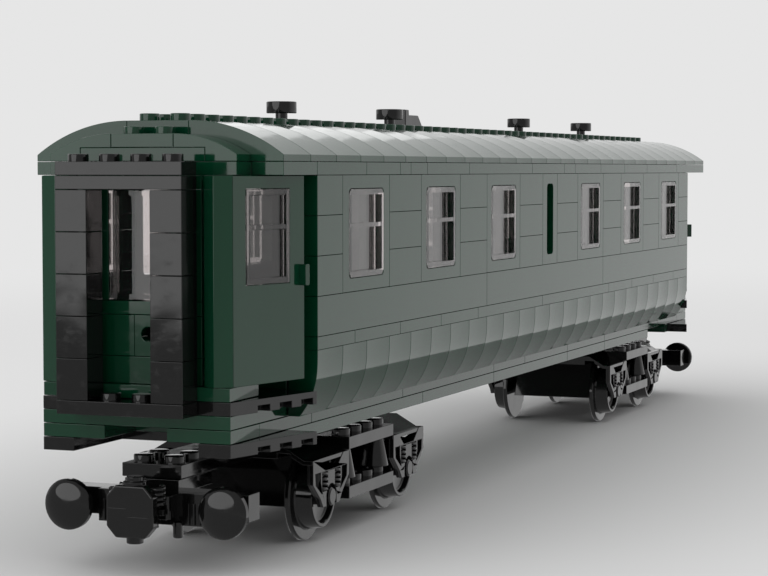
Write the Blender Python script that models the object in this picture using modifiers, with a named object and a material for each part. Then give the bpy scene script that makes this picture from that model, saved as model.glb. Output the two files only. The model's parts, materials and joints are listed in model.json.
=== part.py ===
"""Toy passenger coach built from bricks and plates, on two four-wheel bogies.

Lengths are millimetres in the tables below and turn into metres in one place (MM).
Along X the tables count from the front of the near end's plates, and heights count
from the top of the floor plate. place() shifts both into the part's own frame, whose
origin is under the middle of the coach where the wheels touch the ground.
"""
import math

import bmesh
import bpy
from mathutils import Matrix, Vector

MM = 0.001

# Module of the toy
STUD = 8.0                        # pitch of the studs
PLATE = 3.2                       # height of a plate
STUD_R = 2.4
STUD_H = 1.7
STUD_ROOT = 0.4                   # how far a stud reaches into its plate
GAP = 0.3                         # between pieces that meet
HALF_GAP = GAP / 2
OVER = 1.0                        # how far a cutter runs past a face
ROUND_SIDES = 20
MID_SIDES = 12                    # for small round pieces
STUD_SIDES = 8
WHEEL_SIDES = 16

# Lengths along X
BASE_LEN = 56 * STUD              # front of the plates at one end to the other
VESTIBULE = 4 * STUD
BODY_X0, BODY_X1 = VESTIBULE, BASE_LEN - VESTIBULE
ROOF_X0 = 1.5 * STUD
ROOF_X1 = BASE_LEN - 0.5 * STUD
ROOF_END = STUD                   # length of the low step at the near end of the roof
GEAR_MID = 28.5 * STUD            # half way between the two bogies
PIVOT_OFFSET = 17.5 * STUD
GANGWAY_DEPTH = STUD
DOOR_FLOOR = 2 * STUD             # where the floor plate narrows behind the door

# Widths
HALF_WIDE = 4 * STUD              # body and roof
HALF_NARROW = 3 * STUD            # plates at the ends and underframe
WALL = STUD

# Heights above the top of the floor plate
Z_TUMBLE_BOTTOM = -3 * PLATE
Z_TUMBLE_TOP = 2 * PLATE
Z_SILL_TOP = 6 * PLATE
Z_WALL_TOP = 15 * PLATE
Z_EAVE_TOP = 16 * PLATE
Z_ROOF_END_TOP = 18 * PLATE
Z_ROOF_TOP = 19 * PLATE
Z_GANGWAY_BEAM = 14 * PLATE
Z_FRAME_LOW = -4 * PLATE          # bottom of the underframe's upper course
Z_UNDER = -5 * PLATE

# Wheels, as distances from the middle of the axle
FLANGE_R = 11.5
TREAD_R = 8.6
TREAD_R_OUT = 7.9
WHEEL_IN = 15.8
FLANGE_T = 1.6
TREAD_WIDE = 4.5
WHEEL_OUT = WHEEL_IN + FLANGE_T + TREAD_WIDE
DISH_DEEP = 1.6                   # recess in the wheel's outer face
DISH_R = 6.4
DISH_FLARE = 0.4
HUB_R = 2.3
HUB_PROUD = 2.5                   # hub past the wheel's outer face
AXLE_R = 1.55
BORE_R = AXLE_R + 0.1
AXLE_BELOW_FLOOR = 32.8
WHEELBASE = 7 * STUD
FLOOR_Z = AXLE_BELOW_FLOOR + FLANGE_R    # top of the floor plate above the ground

# Draw gear, as distances from the bogie's pivot towards the coach's end
BEAM_BACK, BEAM_FRONT = 72.0, 78.2
HOUSING_DEEP = 5.8                # coupler housing in front of the beam
COUPLER_DEEP = 7.1
BUFFER_LEN = 6.1
TONGUE_REACH = BEAM_FRONT + 1.8      # the tongue ends just past the beam
HOUSING_FRONT = BEAM_FRONT + HOUSING_DEEP
COUPLER_REACH = HOUSING_FRONT + GAP + COUPLER_DEEP
BUFFER_REACH = BEAM_FRONT + BUFFER_LEN

X_LOW = -GANGWAY_DEPTH
X_HIGH = GEAR_MID + PIVOT_OFFSET + COUPLER_REACH
X_MIDDLE = (X_LOW + X_HIGH) / 2

SLANT = math.atan2(HALF_WIDE - HALF_NARROW, VESTIBULE)


def place(x, y, z):
    """Point of the tables to metres in the part's frame."""
    return Vector(((x - X_MIDDLE) * MM, y * MM, (z + FLOOR_Z) * MM))


# Materials: base colour, metallic, roughness, transmission
FINISHES = {
    "green_plastic": ((0.012, 0.045, 0.026, 1.0), 0.0, 0.12, 0.0),
    "black_plastic": ((0.012, 0.012, 0.012, 1.0), 0.0, 0.14, 0.0),
    "clear_glazing": ((0.30, 0.27, 0.27, 1.0), 0.0, 0.05, 0.8),
}


def make_material(name):
    color, metallic, roughness, transmission = FINISHES[name]
    mat = bpy.data.materials.new(name)
    mat.use_nodes = True
    node = mat.node_tree.nodes["Principled BSDF"]
    node.inputs["Base Color"].default_value = color
    node.inputs["Metallic"].default_value = metallic
    node.inputs["Roughness"].default_value = roughness
    node.inputs["Transmission Weight"].default_value = transmission
    return mat


# Raw shapes, each a bmesh in metres
AXIS_TURN = {
    "x": Matrix.Rotation(math.radians(90), 4, "Y"),
    "y": Matrix.Rotation(math.radians(-90), 4, "X"),
    "z": Matrix.Identity(4),
}


def frame_at(x, y, z, axis="z"):
    """Matrix that sets local Z along an axis at a point of the tables, in millimetres."""
    return Matrix.Translation(place(x, y, z)) @ AXIS_TURN[axis] @ Matrix.Scale(MM, 4)


def box(x0, x1, y0, y1, z0, z1):
    bm = bmesh.new()
    size = Matrix.Diagonal((abs(x1 - x0), abs(y1 - y0), abs(z1 - z0), 1.0))
    middle = frame_at((x0 + x1) / 2, (y0 + y1) / 2, (z0 + z1) / 2)
    bmesh.ops.create_cube(bm, size=1.0, matrix=middle @ size)
    return bm


def pulled(points, shift):
    """Flat outline of points in table coordinates, pulled along a shift."""
    bm = bmesh.new()
    face = bm.faces.new([bm.verts.new(place(*point)) for point in points])
    made = bmesh.ops.extrude_face_region(bm, geom=[face])
    moved = [item for item in made["geom"] if isinstance(item, bmesh.types.BMVert)]
    bmesh.ops.translate(bm, verts=moved, vec=Vector(shift) * MM)
    return bm


def plan_prism(outline, z0, z1):
    """Outline in X and Y pulled up from z0 to z1."""
    return pulled([(x, y, z0) for x, y in outline], (0, 0, z1 - z0))


def side_prism(outline, y0, y1):
    """Outline in X and Z pulled across from y0 to y1."""
    return pulled([(x, y0, z) for x, z in outline], (0, y1 - y0, 0))


def long_prism(outline, x0, x1):
    """Outline in Y and Z pulled along from x0 to x1."""
    return pulled([(x0, y, z) for y, z in outline], (x1 - x0, 0, 0))


def rod(x, y, z, axis, radius, length, sides=ROUND_SIDES, radius_end=None):
    """Cylinder or cone that starts at a point and runs along +axis."""
    bm = bmesh.new()
    middle = frame_at(x, y, z, axis) @ Matrix.Translation((0, 0, length / 2))
    end = radius if radius_end is None else radius_end
    bmesh.ops.create_cone(bm, cap_ends=True, segments=sides, radius1=radius, radius2=end,
                          depth=length, matrix=middle)
    return bm


def turned(profile, frame, sides=ROUND_SIDES):
    """Solid of revolution about the frame's Z; rows are (radius, height), top to bottom."""
    mesh = bpy.data.meshes.new("profile")
    mesh.from_pydata([(radius, 0.0, height) for radius, height in profile],
                     [(i, i + 1) for i in range(len(profile) - 1)], [])
    ob = bpy.data.objects.new("profile", mesh)
    bpy.context.scene.collection.objects.link(ob)
    screw = ob.modifiers.new("turn", "SCREW")
    screw.axis = "Z"
    screw.steps = screw.render_steps = sides
    screw.use_merge_vertices = True
    screw.merge_threshold = 0.0001
    bm = bmesh.new()
    bm.from_object(ob, bpy.context.evaluated_depsgraph_get())
    bm.transform(frame)
    bpy.data.objects.remove(ob)
    bpy.data.meshes.remove(mesh)
    return bm


def arc(cx, cy, radius, start, end, steps):
    """Points on an arc between two angles in degrees, both ends included."""
    angles = [math.radians(start + (end - start) * i / steps) for i in range(steps + 1)]
    return [(cx + radius * math.cos(a), cy + radius * math.sin(a)) for a in angles]


def rounded(x0, x1, z0, z1, radius, steps=2):
    """Outline of a rectangle with round corners."""
    corners = ((x1 - radius, z1 - radius, 0), (x0 + radius, z1 - radius, 90),
               (x0 + radius, z0 + radius, 180), (x1 - radius, z0 + radius, 270))
    points = []
    for cx, cz, start in corners:
        points += arc(cx, cz, radius, start, start + 90, steps)
    return points


def both_halves(half):
    """Closed outline from its half at a >= 0, whose first and last points are on the middle."""
    return half + [(-a, h) for a, h in reversed(half[1:-1])]


def joined(shapes):
    """Several loose solids in one mesh."""
    bm = bmesh.new()
    for shape in shapes:
        mesh = bpy.data.meshes.new("loose")
        shape.to_mesh(mesh)
        shape.free()
        bm.from_mesh(mesh)
        bpy.data.meshes.remove(mesh)
    return bm


def studs(rows, z, sides=STUD_SIDES):
    """Studs at each (x, y), rooted a little in the plate whose top is z."""
    return joined([rod(x, y, z - STUD_ROOT, "z", STUD_R, STUD_ROOT + STUD_H, sides) for x, y in rows])


def new_object(name, bm):
    bmesh.ops.remove_doubles(bm, verts=bm.verts, dist=1e-7)
    bmesh.ops.recalc_face_normals(bm, faces=bm.faces)
    mesh = bpy.data.meshes.new(name)
    bm.to_mesh(mesh)
    bm.free()
    return bpy.data.objects.new(name, mesh)


class Shop:
    """Makes the named solids and puts each where it belongs."""

    WELD = 2e-6                   # metres
    FLAT = math.radians(0.5)

    def __init__(self):
        self.parts = bpy.data.collections.new("passenger_coach")
        self.cutters = bpy.data.collections.new("cutters")
        for col in (self.parts, self.cutters):
            bpy.context.scene.collection.children.link(col)
        self.materials = {name: make_material(name) for name in FINISHES}

    def tool(self, name, bm):
        ob = new_object(name, bm)
        self.cutters.objects.link(ob)
        ob.hide_render = True
        ob.display_type = "WIRE"
        return ob

    def solid(self, name, material, base, add=(), cut=()):
        ob = new_object(name, base)
        self.parts.objects.link(ob)
        for operation, shapes in (("UNION", add), ("DIFFERENCE", cut)):
            for i, bm in enumerate(shapes):
                tool = self.tool(f"{name}_{operation.lower()}_{i}", bm)
                mod = ob.modifiers.new(tool.name, "BOOLEAN")
                mod.operation = operation
                mod.solver = "EXACT"
                mod.object = tool
        self.bake(ob)
        ob.data.materials.clear()
        ob.data.materials.append(self.materials[material])
        return ob

    def bake(self, ob):
        """Turn the modifiers into plain mesh and clean up slivers."""
        depsgraph = bpy.context.evaluated_depsgraph_get()
        mesh = bpy.data.meshes.new_from_object(ob.evaluated_get(depsgraph))
        ob.modifiers.clear()
        old = ob.data
        ob.data = mesh
        bpy.data.meshes.remove(old)
        bm = bmesh.new()
        bm.from_mesh(mesh)
        bmesh.ops.remove_doubles(bm, verts=bm.verts, dist=self.WELD)
        bmesh.ops.dissolve_limit(bm, angle_limit=self.FLAT, verts=bm.verts, edges=bm.edges)
        bmesh.ops.triangulate(bm, faces=bm.faces)
        bm.to_mesh(mesh)
        bm.free()


def set_origin(ob, point):
    """Move an object's origin to a point in metres and leave its shape in place."""
    ob.data.transform(Matrix.Translation(-point))
    ob.matrix_world = Matrix.Translation(point)


class End:
    """One end of the coach: x counts inwards from the front of its plates."""

    def __init__(self, name, origin, direction):
        self.name = name
        self.origin = origin
        self.direction = direction

    def x(self, inward):
        return self.origin + self.direction * inward

    def outline(self, points):
        return [(self.x(a), b) for a, b in points]

    def box(self, a0, a1, y0, y1, z0, z1):
        return box(self.x(a0), self.x(a1), y0, y1, z0, z1)


ENDS = (End("near", 0.0, 1.0), End("far", BASE_LEN, -1.0))
SIDES = (("right", -1.0), ("left", 1.0))

# Floor, steps and underframe
STEP_NOTCHES = (1.5 * STUD, 2.5 * STUD, 3.5 * STUD)    # inward along the steps' edges
NOTCH_WIDE = 4.4
NOTCH_DEEP = 2.0
NOTCH_HIGH = PLATE / 2
LOW_STEP_GAP = 2 * STUD           # half width of the opening in the low step
COURSE_X1 = 48 * STUD             # where the lowest course stops
CORNER_BLOCK = STUD / 2           # length of the small blocks at the far end
ROOM_END = 12 * STUD              # solid ends of the underframe, over the bogies
ROOM_WALL = 5.0
BEARING_R = 6.0                   # round pad over each pivot
PIVOT_R = 2.4


def make_floor(shop):
    cuts = [end.box(DOOR_FLOOR, VESTIBULE, side * 2 * STUD, side * (HALF_NARROW + OVER), -PLATE - OVER, OVER)
            for end in ENDS for _, side in SIDES]
    w = HALF_NARROW - HALF_GAP
    shop.solid("floor_plate", "green_plastic", box(0, BASE_LEN, -w, w, -PLATE + GAP, 0), cut=cuts)


def wedge(end, back):
    """Plan of a plate that widens from the corner to the full body width."""
    reach = HALF_NARROW + back * math.tan(SLANT)
    return end.outline([(0, -HALF_NARROW), (back, -reach), (back, reach), (0, HALF_NARROW)])


def notch_cuts(end, z0):
    cuts = []
    for _, side in SIDES:
        for mid in STEP_NOTCHES:
            y = HALF_NARROW + mid * math.tan(SLANT)
            cuts.append(end.box(mid - NOTCH_WIDE / 2, mid + NOTCH_WIDE / 2, side * (y - NOTCH_DEEP),
                                side * (y + NOTCH_DEEP), z0 - OVER, z0 + NOTCH_HIGH))
    return joined(cuts)


def make_steps(shop):
    back = VESTIBULE - GAP
    for end in ENDS:
        z0 = -2 * PLATE + GAP
        shop.solid(f"upper_step_{end.name}", "black_plastic",
                   plan_prism(wedge(end, back), z0, -PLATE), cut=[notch_cuts(end, z0)])
        z0 = Z_UNDER
        middle = end.box(-OVER, VESTIBULE - STUD, -LOW_STEP_GAP, LOW_STEP_GAP, z0 - OVER, z0 + PLATE + OVER)
        shop.solid(f"lower_step_{end.name}", "black_plastic",
                   plan_prism(wedge(end, back), z0, z0 + PLATE - GAP), cut=[middle, notch_cuts(end, z0)])


def make_underframe(shop):
    w = HALF_NARROW
    add = [box(BODY_X0, BODY_X1, -w, w, Z_FRAME_LOW, -PLATE),
           box(BODY_X0, COURSE_X1, -w, w, Z_UNDER, Z_FRAME_LOW + PLATE)]
    for _, side in SIDES:
        add.append(box(BODY_X1 - CORNER_BLOCK, BODY_X1, side * 2 * STUD, side * w,
                       Z_UNDER, Z_FRAME_LOW + OVER))
    cut = [end.box(-OVER, 2 * STUD, -STUD, STUD, Z_FRAME_LOW - OVER, Z_FRAME_LOW + PLATE) for end in ENDS]
    for bogie in BOGIES:
        foot, pad = Z_PLATE_TOP - PLATE, Z_PLATE_TOP + GAP
        add.append(rod(bogie.pivot, 0, foot, "z", PIVOT_R, Z_UNDER + OVER - foot))
        add.append(rod(bogie.pivot, 0, pad, "z", BEARING_R, Z_UNDER + OVER - pad))
    # The long middle is a shell, like the real plates and bricks
    cut.append(box(BODY_X0 + ROOM_END, BODY_X1 - ROOM_END, -w + ROOM_WALL, w - ROOM_WALL,
                   Z_FRAME_LOW, -PLATE + OVER))
    shop.solid("underframe", "green_plastic",
               box(0, BASE_LEN, -w, w, Z_FRAME_LOW, -2 * PLATE), add=add, cut=cut)


# Sides
TUMBLE_CURVE = (   # (how far in from the wall, height)
    (0.0, Z_TUMBLE_TOP), (0.05, 3.0), (0.3, 0.0), (0.9, -2.6), (1.8, -5.0), (3.0, -7.2), (4.6, -8.9),
    (4.8, Z_TUMBLE_BOTTOM),
)
WINDOWS = (6, 13, 20, 32, 39, 46)      # first stud of each window's frame
WINDOW_LEN = 4 * STUD
JAMB = 4.0                             # frame beside an opening
SLOT_FRAME = (27, 2)                   # first stud and studs of the frame with the narrow slot
WINDOW_Z = (Z_SILL_TOP + PLATE, Z_WALL_TOP - PLATE)
WINDOW_CORNER_R = 1.4
UNIT_DEEP = 4.6                        # glazing unit, front to back
UNIT_RIM = 1.4
PANE_RECESS = 1.7
PANE_T = 1.2
BAR_Z, BAR_H = 11.1 * PLATE, 1.1
SLOT_MARGIN = 0.6
SLOT_DEEP = 5.5


def side_box(side, x0, x1, in0, in1, z0, z1):
    """Box on one side; in0 and in1 count inwards from the wall's face."""
    return box(x0, x1, side * (HALF_WIDE - in0), side * (HALF_WIDE - in1), z0, z1)


def side_panel(side, outline, in0, in1):
    """Outline in X and Z pulled inwards from in0 to in1 behind the wall's face."""
    return side_prism(outline, side * (HALF_WIDE - in0), side * (HALF_WIDE - in1))


def make_sides(shop):
    for name, side in SIDES:
        curve = [(side * (HALF_WIDE - a), z) for a, z in TUMBLE_CURVE]
        inner = side * (HALF_NARROW + GAP)
        outline = curve + [(inner, Z_TUMBLE_BOTTOM), (inner, Z_TUMBLE_TOP)]
        shop.solid(f"tumblehome_{name}", "green_plastic", long_prism(outline, BODY_X0, BODY_X1))
        shop.solid(f"sill_{name}", "green_plastic",
                   side_box(side, BODY_X0, BODY_X1, 0, WALL - GAP, Z_TUMBLE_TOP + GAP, Z_SILL_TOP))
        z0, z1 = WINDOW_Z
        cuts = []
        for first in WINDOWS:
            x0 = first * STUD
            outline = rounded(x0 + JAMB, x0 + WINDOW_LEN - JAMB, z0, z1, WINDOW_CORNER_R)
            cuts.append(side_panel(side, outline, -OVER, WALL + OVER))
        first, count = SLOT_FRAME
        margin = JAMB + SLOT_MARGIN
        outline = rounded(first * STUD + margin, (first + count) * STUD - margin, z0, z1, WINDOW_CORNER_R)
        cuts.append(side_panel(side, outline, -OVER, SLOT_DEEP))
        shop.solid(f"window_wall_{name}", "green_plastic",
                   side_box(side, BODY_X0, BODY_X1, 0, WALL - GAP, Z_SILL_TOP + GAP, Z_WALL_TOP),
                   cut=[joined(cuts)])
        for i, first in enumerate(WINDOWS):
            make_window(shop, f"window_{name}_{i + 1}", side, first * STUD)


def make_window(shop, name, side, x0):
    """Clear glazing unit: a rim, a recessed pane and a bar across it."""
    x0, x1 = x0 + JAMB + GAP, x0 + WINDOW_LEN - JAMB - GAP
    z0, z1 = WINDOW_Z[0] + GAP, WINDOW_Z[1] - GAP
    x_in, x_out = x0 + UNIT_RIM, x1 - UNIT_RIM
    back = PANE_RECESS + PANE_T
    panes = ((z0 + UNIT_RIM, BAR_Z - BAR_H / 2), (BAR_Z + BAR_H / 2, z1 - UNIT_RIM))
    cuts = [side_box(side, x_in, x_out, -OVER, PANE_RECESS, low, high) for low, high in panes]
    cuts.append(side_box(side, x_in, x_out, back, UNIT_DEEP + OVER, z0 + UNIT_RIM, z1 - UNIT_RIM))
    shop.solid(name, "clear_glazing",
               side_panel(side, rounded(x0, x1, z0, z1, WINDOW_CORNER_R - GAP, steps=1), 0.0, UNIT_DEEP),
               cut=[joined(cuts)])


# Roof
CROWN_HALF = STUD                      # flat crown with the studs
ROOF_LIP = 1.6
ROOF_SKIN = 2.4
ROOF_HEAD = 3.0                        # closed ends of the hollow roof pieces
VENTS = (10.5, 20.5, 36.5, 46.5)       # studs along the coach
VENT_STEM_R, VENT_CAP_R = 1.6, 4.0
VENT_CAP_Z0, VENT_CAP_Z1 = 64.4, 67.2
FITTING_X0, FITTING_X1 = 22.5 * STUD, 25.5 * STUD
FITTING_HALF = 3.2
FITTING_TOP = (   # (from the fitting's start, above the crown): low front, raised block, hood, slope
    (0.0, 3.5), (5.0, 4.8), (7.6, 5.0), (7.6, 6.8), (13.0, 6.8), (13.2, 5.4), (20.0, 5.4), (24.0, 1.8),
)


# inward positions of the low roof step at each end: from, to
ROOF_STEP = {"near": (ROOF_X0 - ROOF_END, ROOF_X0), "far": (0.0, BASE_LEN - ROOF_X1)}


def arch(half, top, base, lip, steps=10):
    """Points (y, z) of one curved half from the crown's edge down to the lip."""
    run = half - CROWN_HALF
    drop = top - base - lip
    radius = (run * run + drop * drop) / (2 * drop)
    points = []
    for i in range(steps + 1):
        a = run * i / steps
        points.append((CROWN_HALF + a, top - (radius - math.sqrt(radius * radius - a * a))))
    return points


def make_eaves(shop):
    ring = box(ROOF_X0, ROOF_X1, -HALF_WIDE, HALF_WIDE, Z_WALL_TOP + GAP, Z_EAVE_TOP)
    add = [end.box(ROOF_STEP[end.name][0], ROOF_STEP[end.name][1] + OVER, -HALF_NARROW, HALF_NARROW,
                   Z_WALL_TOP + GAP, Z_EAVE_TOP) for end in ENDS]
    hole = box(BODY_X0 + STUD, BODY_X1 - STUD, -HALF_NARROW, HALF_NARROW, Z_WALL_TOP, Z_EAVE_TOP + OVER)
    shop.solid("eave_plate", "green_plastic", ring, add=add, cut=[hole])


def make_roof(shop):
    base = Z_EAVE_TOP + GAP
    edge = CROWN_HALF + GAP
    for name, side in SIDES:
        outer = arch(HALF_WIDE, Z_ROOF_TOP, Z_EAVE_TOP, ROOF_LIP)
        outline = [(side * max(y, edge), z) for y, z in outer] + [(side * HALF_WIDE, base), (side * edge, base)]
        inner = arch(HALF_WIDE - ROOF_SKIN, Z_ROOF_TOP - ROOF_SKIN, Z_EAVE_TOP, ROOF_LIP / 2)
        low = edge + ROOF_SKIN
        hollow = [(side * max(y, low), z) for y, z in inner if y > low - ROOF_SKIN]
        hollow += [(side * (HALF_WIDE - ROOF_SKIN), base - OVER), (side * low, base - OVER)]
        shop.solid(f"roof_slope_{name}", "green_plastic", long_prism(outline, ROOF_X0, ROOF_X1),
                   cut=[long_prism(hollow, ROOF_X0 + ROOF_HEAD, ROOF_X1 - ROOF_HEAD)])
    rows = []
    for i in range(round((ROOF_X1 - ROOF_X0) / STUD)):
        x = ROOF_X0 + STUD * (i + 0.5)
        rows.append((x, -STUD / 2))
        if not FITTING_X0 < x < FITTING_X1:
            rows.append((x, STUD / 2))
    w = CROWN_HALF - ROOF_SKIN
    shop.solid("roof_ridge", "green_plastic",
               box(ROOF_X0, ROOF_X1, -CROWN_HALF, CROWN_HALF, base, Z_ROOF_TOP),
               add=[studs(rows, Z_ROOF_TOP)],
               cut=[box(ROOF_X0 + ROOF_HEAD, ROOF_X1 - ROOF_HEAD, -w, w, base - OVER, Z_ROOF_TOP - ROOF_SKIN)])


def make_roof_ends(shop):
    base = Z_EAVE_TOP + GAP
    for end in ENDS:
        a0, a1 = ROOF_STEP[end.name]
        half = arch(HALF_NARROW, Z_ROOF_END_TOP, Z_EAVE_TOP, ROOF_LIP, steps=6)
        outline = [(-y, z) for y, z in reversed(half)] + half + [(HALF_NARROW, base), (-HALF_NARROW, base)]
        x0, x1 = end.x(a0), end.x(a1 - GAP)
        rows = [((x0 + x1) / 2, y) for y in (-STUD / 2, STUD / 2)]
        add = [studs(rows, Z_ROOF_END_TOP, MID_SIDES)] if a1 - a0 > 2 * STUD_R else []
        shop.solid(f"roof_end_{end.name}", "green_plastic", long_prism(outline, x0, x1), add=add)


def make_roof_fittings(shop):
    foot = Z_ROOF_TOP + GAP
    for i, at in enumerate(VENTS):
        x = at * STUD
        shop.solid(f"roof_vent_{i + 1}", "black_plastic",
                   rod(x, 0, foot, "z", VENT_STEM_R, VENT_CAP_Z0 + OVER - foot, MID_SIDES),
                   add=[rod(x, 0, VENT_CAP_Z0, "z", VENT_CAP_R, VENT_CAP_Z1 - VENT_CAP_Z0)])
    top = [(FITTING_X0 + a, Z_ROOF_TOP + h) for a, h in FITTING_TOP]
    outline = [(FITTING_X0, foot)] + top + [(FITTING_X1, foot)]
    shop.solid("roof_fitting", "black_plastic",
               side_prism(outline, STUD / 2 - FITTING_HALF, STUD / 2 + FITTING_HALF))


# Ends
PANEL_X0, PANEL_X1 = 2.4, 5.4
PANEL_SIDE = 3.0                       # from the panel's edge to the corner
END_WINDOW_HALF = STUD
END_WINDOW_Z = (6 * PLATE, 14 * PLATE)
END_RIM = 1.2
END_PANE = (0.8, 2.0)                  # front and back of the thin pane, behind the panel's face
END_HOLE_R = 2.4
END_HOLE_Z = 3.7 * PLATE
DOOR_U0, DOOR_U1 = 1.2, 27.8           # along the slant, from the corner
DOOR_T = 1.3
DOOR_GAP = 0.3                         # between the leaf and the frame behind it
FRAME_V0 = DOOR_T + DOOR_GAP           # door frame, behind the outer face
FRAME_T = 2.6
POST_WIDE, POST_MORE = 3.2, 1.0        # hinge post: its width, and how much deeper it is
LATCH_WIDE = 2.4
HEAD_HIGH, FOOT_HIGH = 2.2, 1.4        # frame above and below the leaf
HINGE_U, HINGE_V = DOOR_U0 + DOOR_T / 2, DOOR_T / 2
DOOR_Z = (GAP, Z_WALL_TOP - GAP)
PANE_U = (5.8, 22.2)
PANE_Z = (23.0, 45.0)
PANE_PROUD = 0.2
PANE_FACE = 0.3                        # thin middle of the pane, behind the leaf's face
HANDLE_U = (1.8, 0.2)                  # back from the leaf's free edge
HANDLE_Z = (24.2, 28.8)
HANDLE_PROUD = 2.2


def slant_point(end, side, u, v):
    """Plan point from u along the slanted door line and v inwards from its face."""
    a = u * math.cos(SLANT) + v * math.sin(SLANT)
    b = HALF_NARROW + u * math.sin(SLANT) - v * math.cos(SLANT)
    return end.x(a), side * b


def slant_prism(end, side, outline, z0, z1):
    return plan_prism([slant_point(end, side, u, v) for u, v in outline], z0, z1)


def slant_box(end, side, u0, u1, v0, v1, z0, z1):
    return slant_prism(end, side, ((u0, v0), (u1, v0), (u1, v1), (u0, v1)), z0, z1)


def make_end_wall(shop, end):
    z0, z1 = GAP, Z_WALL_TOP
    v0, v1 = FRAME_V0, FRAME_V0 + FRAME_T
    add = []
    for _, side in SIDES:
        add.append(slant_box(end, side, DOOR_U0, DOOR_U0 + POST_WIDE, v0, v1 + POST_MORE, z0, z1))
        add.append(slant_box(end, side, DOOR_U1 - LATCH_WIDE, DOOR_U1, v0, v1, z0, z1))
        add.append(slant_box(end, side, DOOR_U0, DOOR_U1, v0, v1, z1 - HEAD_HIGH, z1))
        add.append(slant_box(end, side, DOOR_U0, DOOR_U1, v0, v1, z0, z0 + FOOT_HIGH))
    w = HALF_NARROW - PANEL_SIDE
    deep = PANEL_X1 - PANEL_X0 + 2 * OVER
    start = min(end.x(PANEL_X0 - OVER), end.x(PANEL_X1 + OVER))
    cut = [box(start, start + deep, -END_WINDOW_HALF, END_WINDOW_HALF, *END_WINDOW_Z),
           rod(start, 0, END_HOLE_Z, "x", END_HOLE_R, deep)]
    shop.solid(f"end_wall_{end.name}", "green_plastic",
               end.box(PANEL_X0, PANEL_X1, -w, w, z0, z1), add=add, cut=cut)


def make_end_window(shop, end):
    w, z0, z1 = END_WINDOW_HALF - GAP, END_WINDOW_Z[0] + GAP, END_WINDOW_Z[1] - GAP
    inside = (-w + END_RIM, w - END_RIM, z0 + END_RIM, z1 - END_RIM)
    front, back = END_PANE
    shop.solid(f"end_window_{end.name}", "clear_glazing",
               end.box(PANEL_X0, PANEL_X1, -w, w, z0, z1),
               cut=[end.box(PANEL_X0 - OVER, PANEL_X0 + front, *inside),
                    end.box(PANEL_X0 + back, PANEL_X1 + OVER, *inside)])


def make_gangway(shop, end):
    a0, a1 = -GANGWAY_DEPTH, -GAP
    w = 2 * STUD
    mid = end.x(-GANGWAY_DEPTH / 2)
    top = [(mid, y * STUD) for y in (-1.5, -0.5, 0.5, 1.5)]
    foot = [(mid, y * STUD) for y in (-0.5, 0.5)]
    leg = [end.box(a0, a1, side * STUD, side * w, -2 * PLATE, Z_EAVE_TOP) for _, side in SIDES]
    sill = end.box(a0, a1, -w, w, -2 * PLATE, -PLATE)
    shop.solid(f"gangway_{end.name}", "black_plastic",
               end.box(a0, a1, -w, w, Z_GANGWAY_BEAM, Z_EAVE_TOP),
               add=leg + [sill, studs(top, Z_EAVE_TOP, MID_SIDES), studs(foot, -PLATE, MID_SIDES)])


def make_door(shop, end, name, side):
    z0, z1 = DOOR_Z
    edge = arc(HINGE_U, HINGE_V, DOOR_T / 2, 270, 90, 4)
    leaf = slant_prism(end, side, edge + [(DOOR_U1, DOOR_T), (DOOR_U1, 0.0)], z0, z1)
    opening = slant_box(end, side, *PANE_U, -OVER, DOOR_T + OVER, *PANE_Z)
    handle = slant_box(end, side, DOOR_U1 - HANDLE_U[0], DOOR_U1 - HANDLE_U[1],
                       -HANDLE_PROUD, DOOR_T / 2, *HANDLE_Z)
    leaf_ob = shop.solid(f"door_{end.name}_{name}", "green_plastic", leaf, add=[handle], cut=[opening])
    u0, u1 = PANE_U[0] + GAP, PANE_U[1] - GAP
    a, b = PANE_Z[0] + GAP, PANE_Z[1] - GAP
    pane = shop.solid(f"door_pane_{end.name}_{name}", "clear_glazing",
                      slant_box(end, side, u0, u1, -PANE_PROUD, DOOR_T, a, b),
                      cut=[slant_box(end, side, u0 + END_RIM, u1 - END_RIM, -OVER, PANE_FACE,
                                     a + END_RIM, b - END_RIM)])
    hinge = place(*slant_point(end, side, HINGE_U, HINGE_V), 0)
    for ob in (leaf_ob, pane):
        set_origin(ob, hinge)


def make_ends(shop):
    for end in ENDS:
        make_end_wall(shop, end)
        make_end_window(shop, end)
        make_gangway(shop, end)
        for name, side in SIDES:
            make_door(shop, end, name, side)


# Bogies
Z_PLATE_TOP = -6 * PLATE               # top of the bogie's plates
Z_PLATE = Z_PLATE_TOP - PLATE
Z_LOW_TOP = -10 * PLATE                # top of the low cross beam
Z_LOW = Z_LOW_TOP - PLATE
BEAM_HALF = 2 * STUD                   # half length of the cross beams
SPINE_HALF = 1.8 * STUD                # half width of the middle plates, between the wheels
BEARER_HALF, BEARER_DEEP = 1.5 * STUD, PLATE
TONGUE_START, TONGUE_HALF = 30.0, STUD - GAP
HOLDER_HALF = 1.5 * STUD               # half length of a wheel holder
SHOULDER = (   # (distance from the middle, height): a holder's sloping shoulder, over the wheel
    (16.0, Z_PLATE_TOP), (21.7, -22.5), (22.4, -22.5), (22.4, -23.6), (21.2, -23.6), (18.2, -21.9),
    (17.8, -21.0), (SPINE_HALF, -20.9), (SPINE_HALF, Z_PLATE),
)
BEARING_HALF = 6.0                     # axle's bearing block, along the bogie
BEARING_FOOT = 3.7                     # its foot below the axle
CASTING_BACK = WHEEL_OUT + 0.5
CASTING_T = 1.6
CASTING_FRONT = CASTING_BACK + CASTING_T
FORK_R = 3.3                           # round the hub, open below
CASTING_HALF = (   # (from the axle, above the axle): saddle, horn, flank, foot
    (0.0, 7.1), (3.9, 7.1), (8.0, 10.3), (11.85, 10.3), (11.85, 4.2), (7.0, 0.0), (5.4, -2.1), (FORK_R, -2.1),
)
HORN_ROOT = (8.2, 11.6)                # where a horn joins the shoulder
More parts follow.
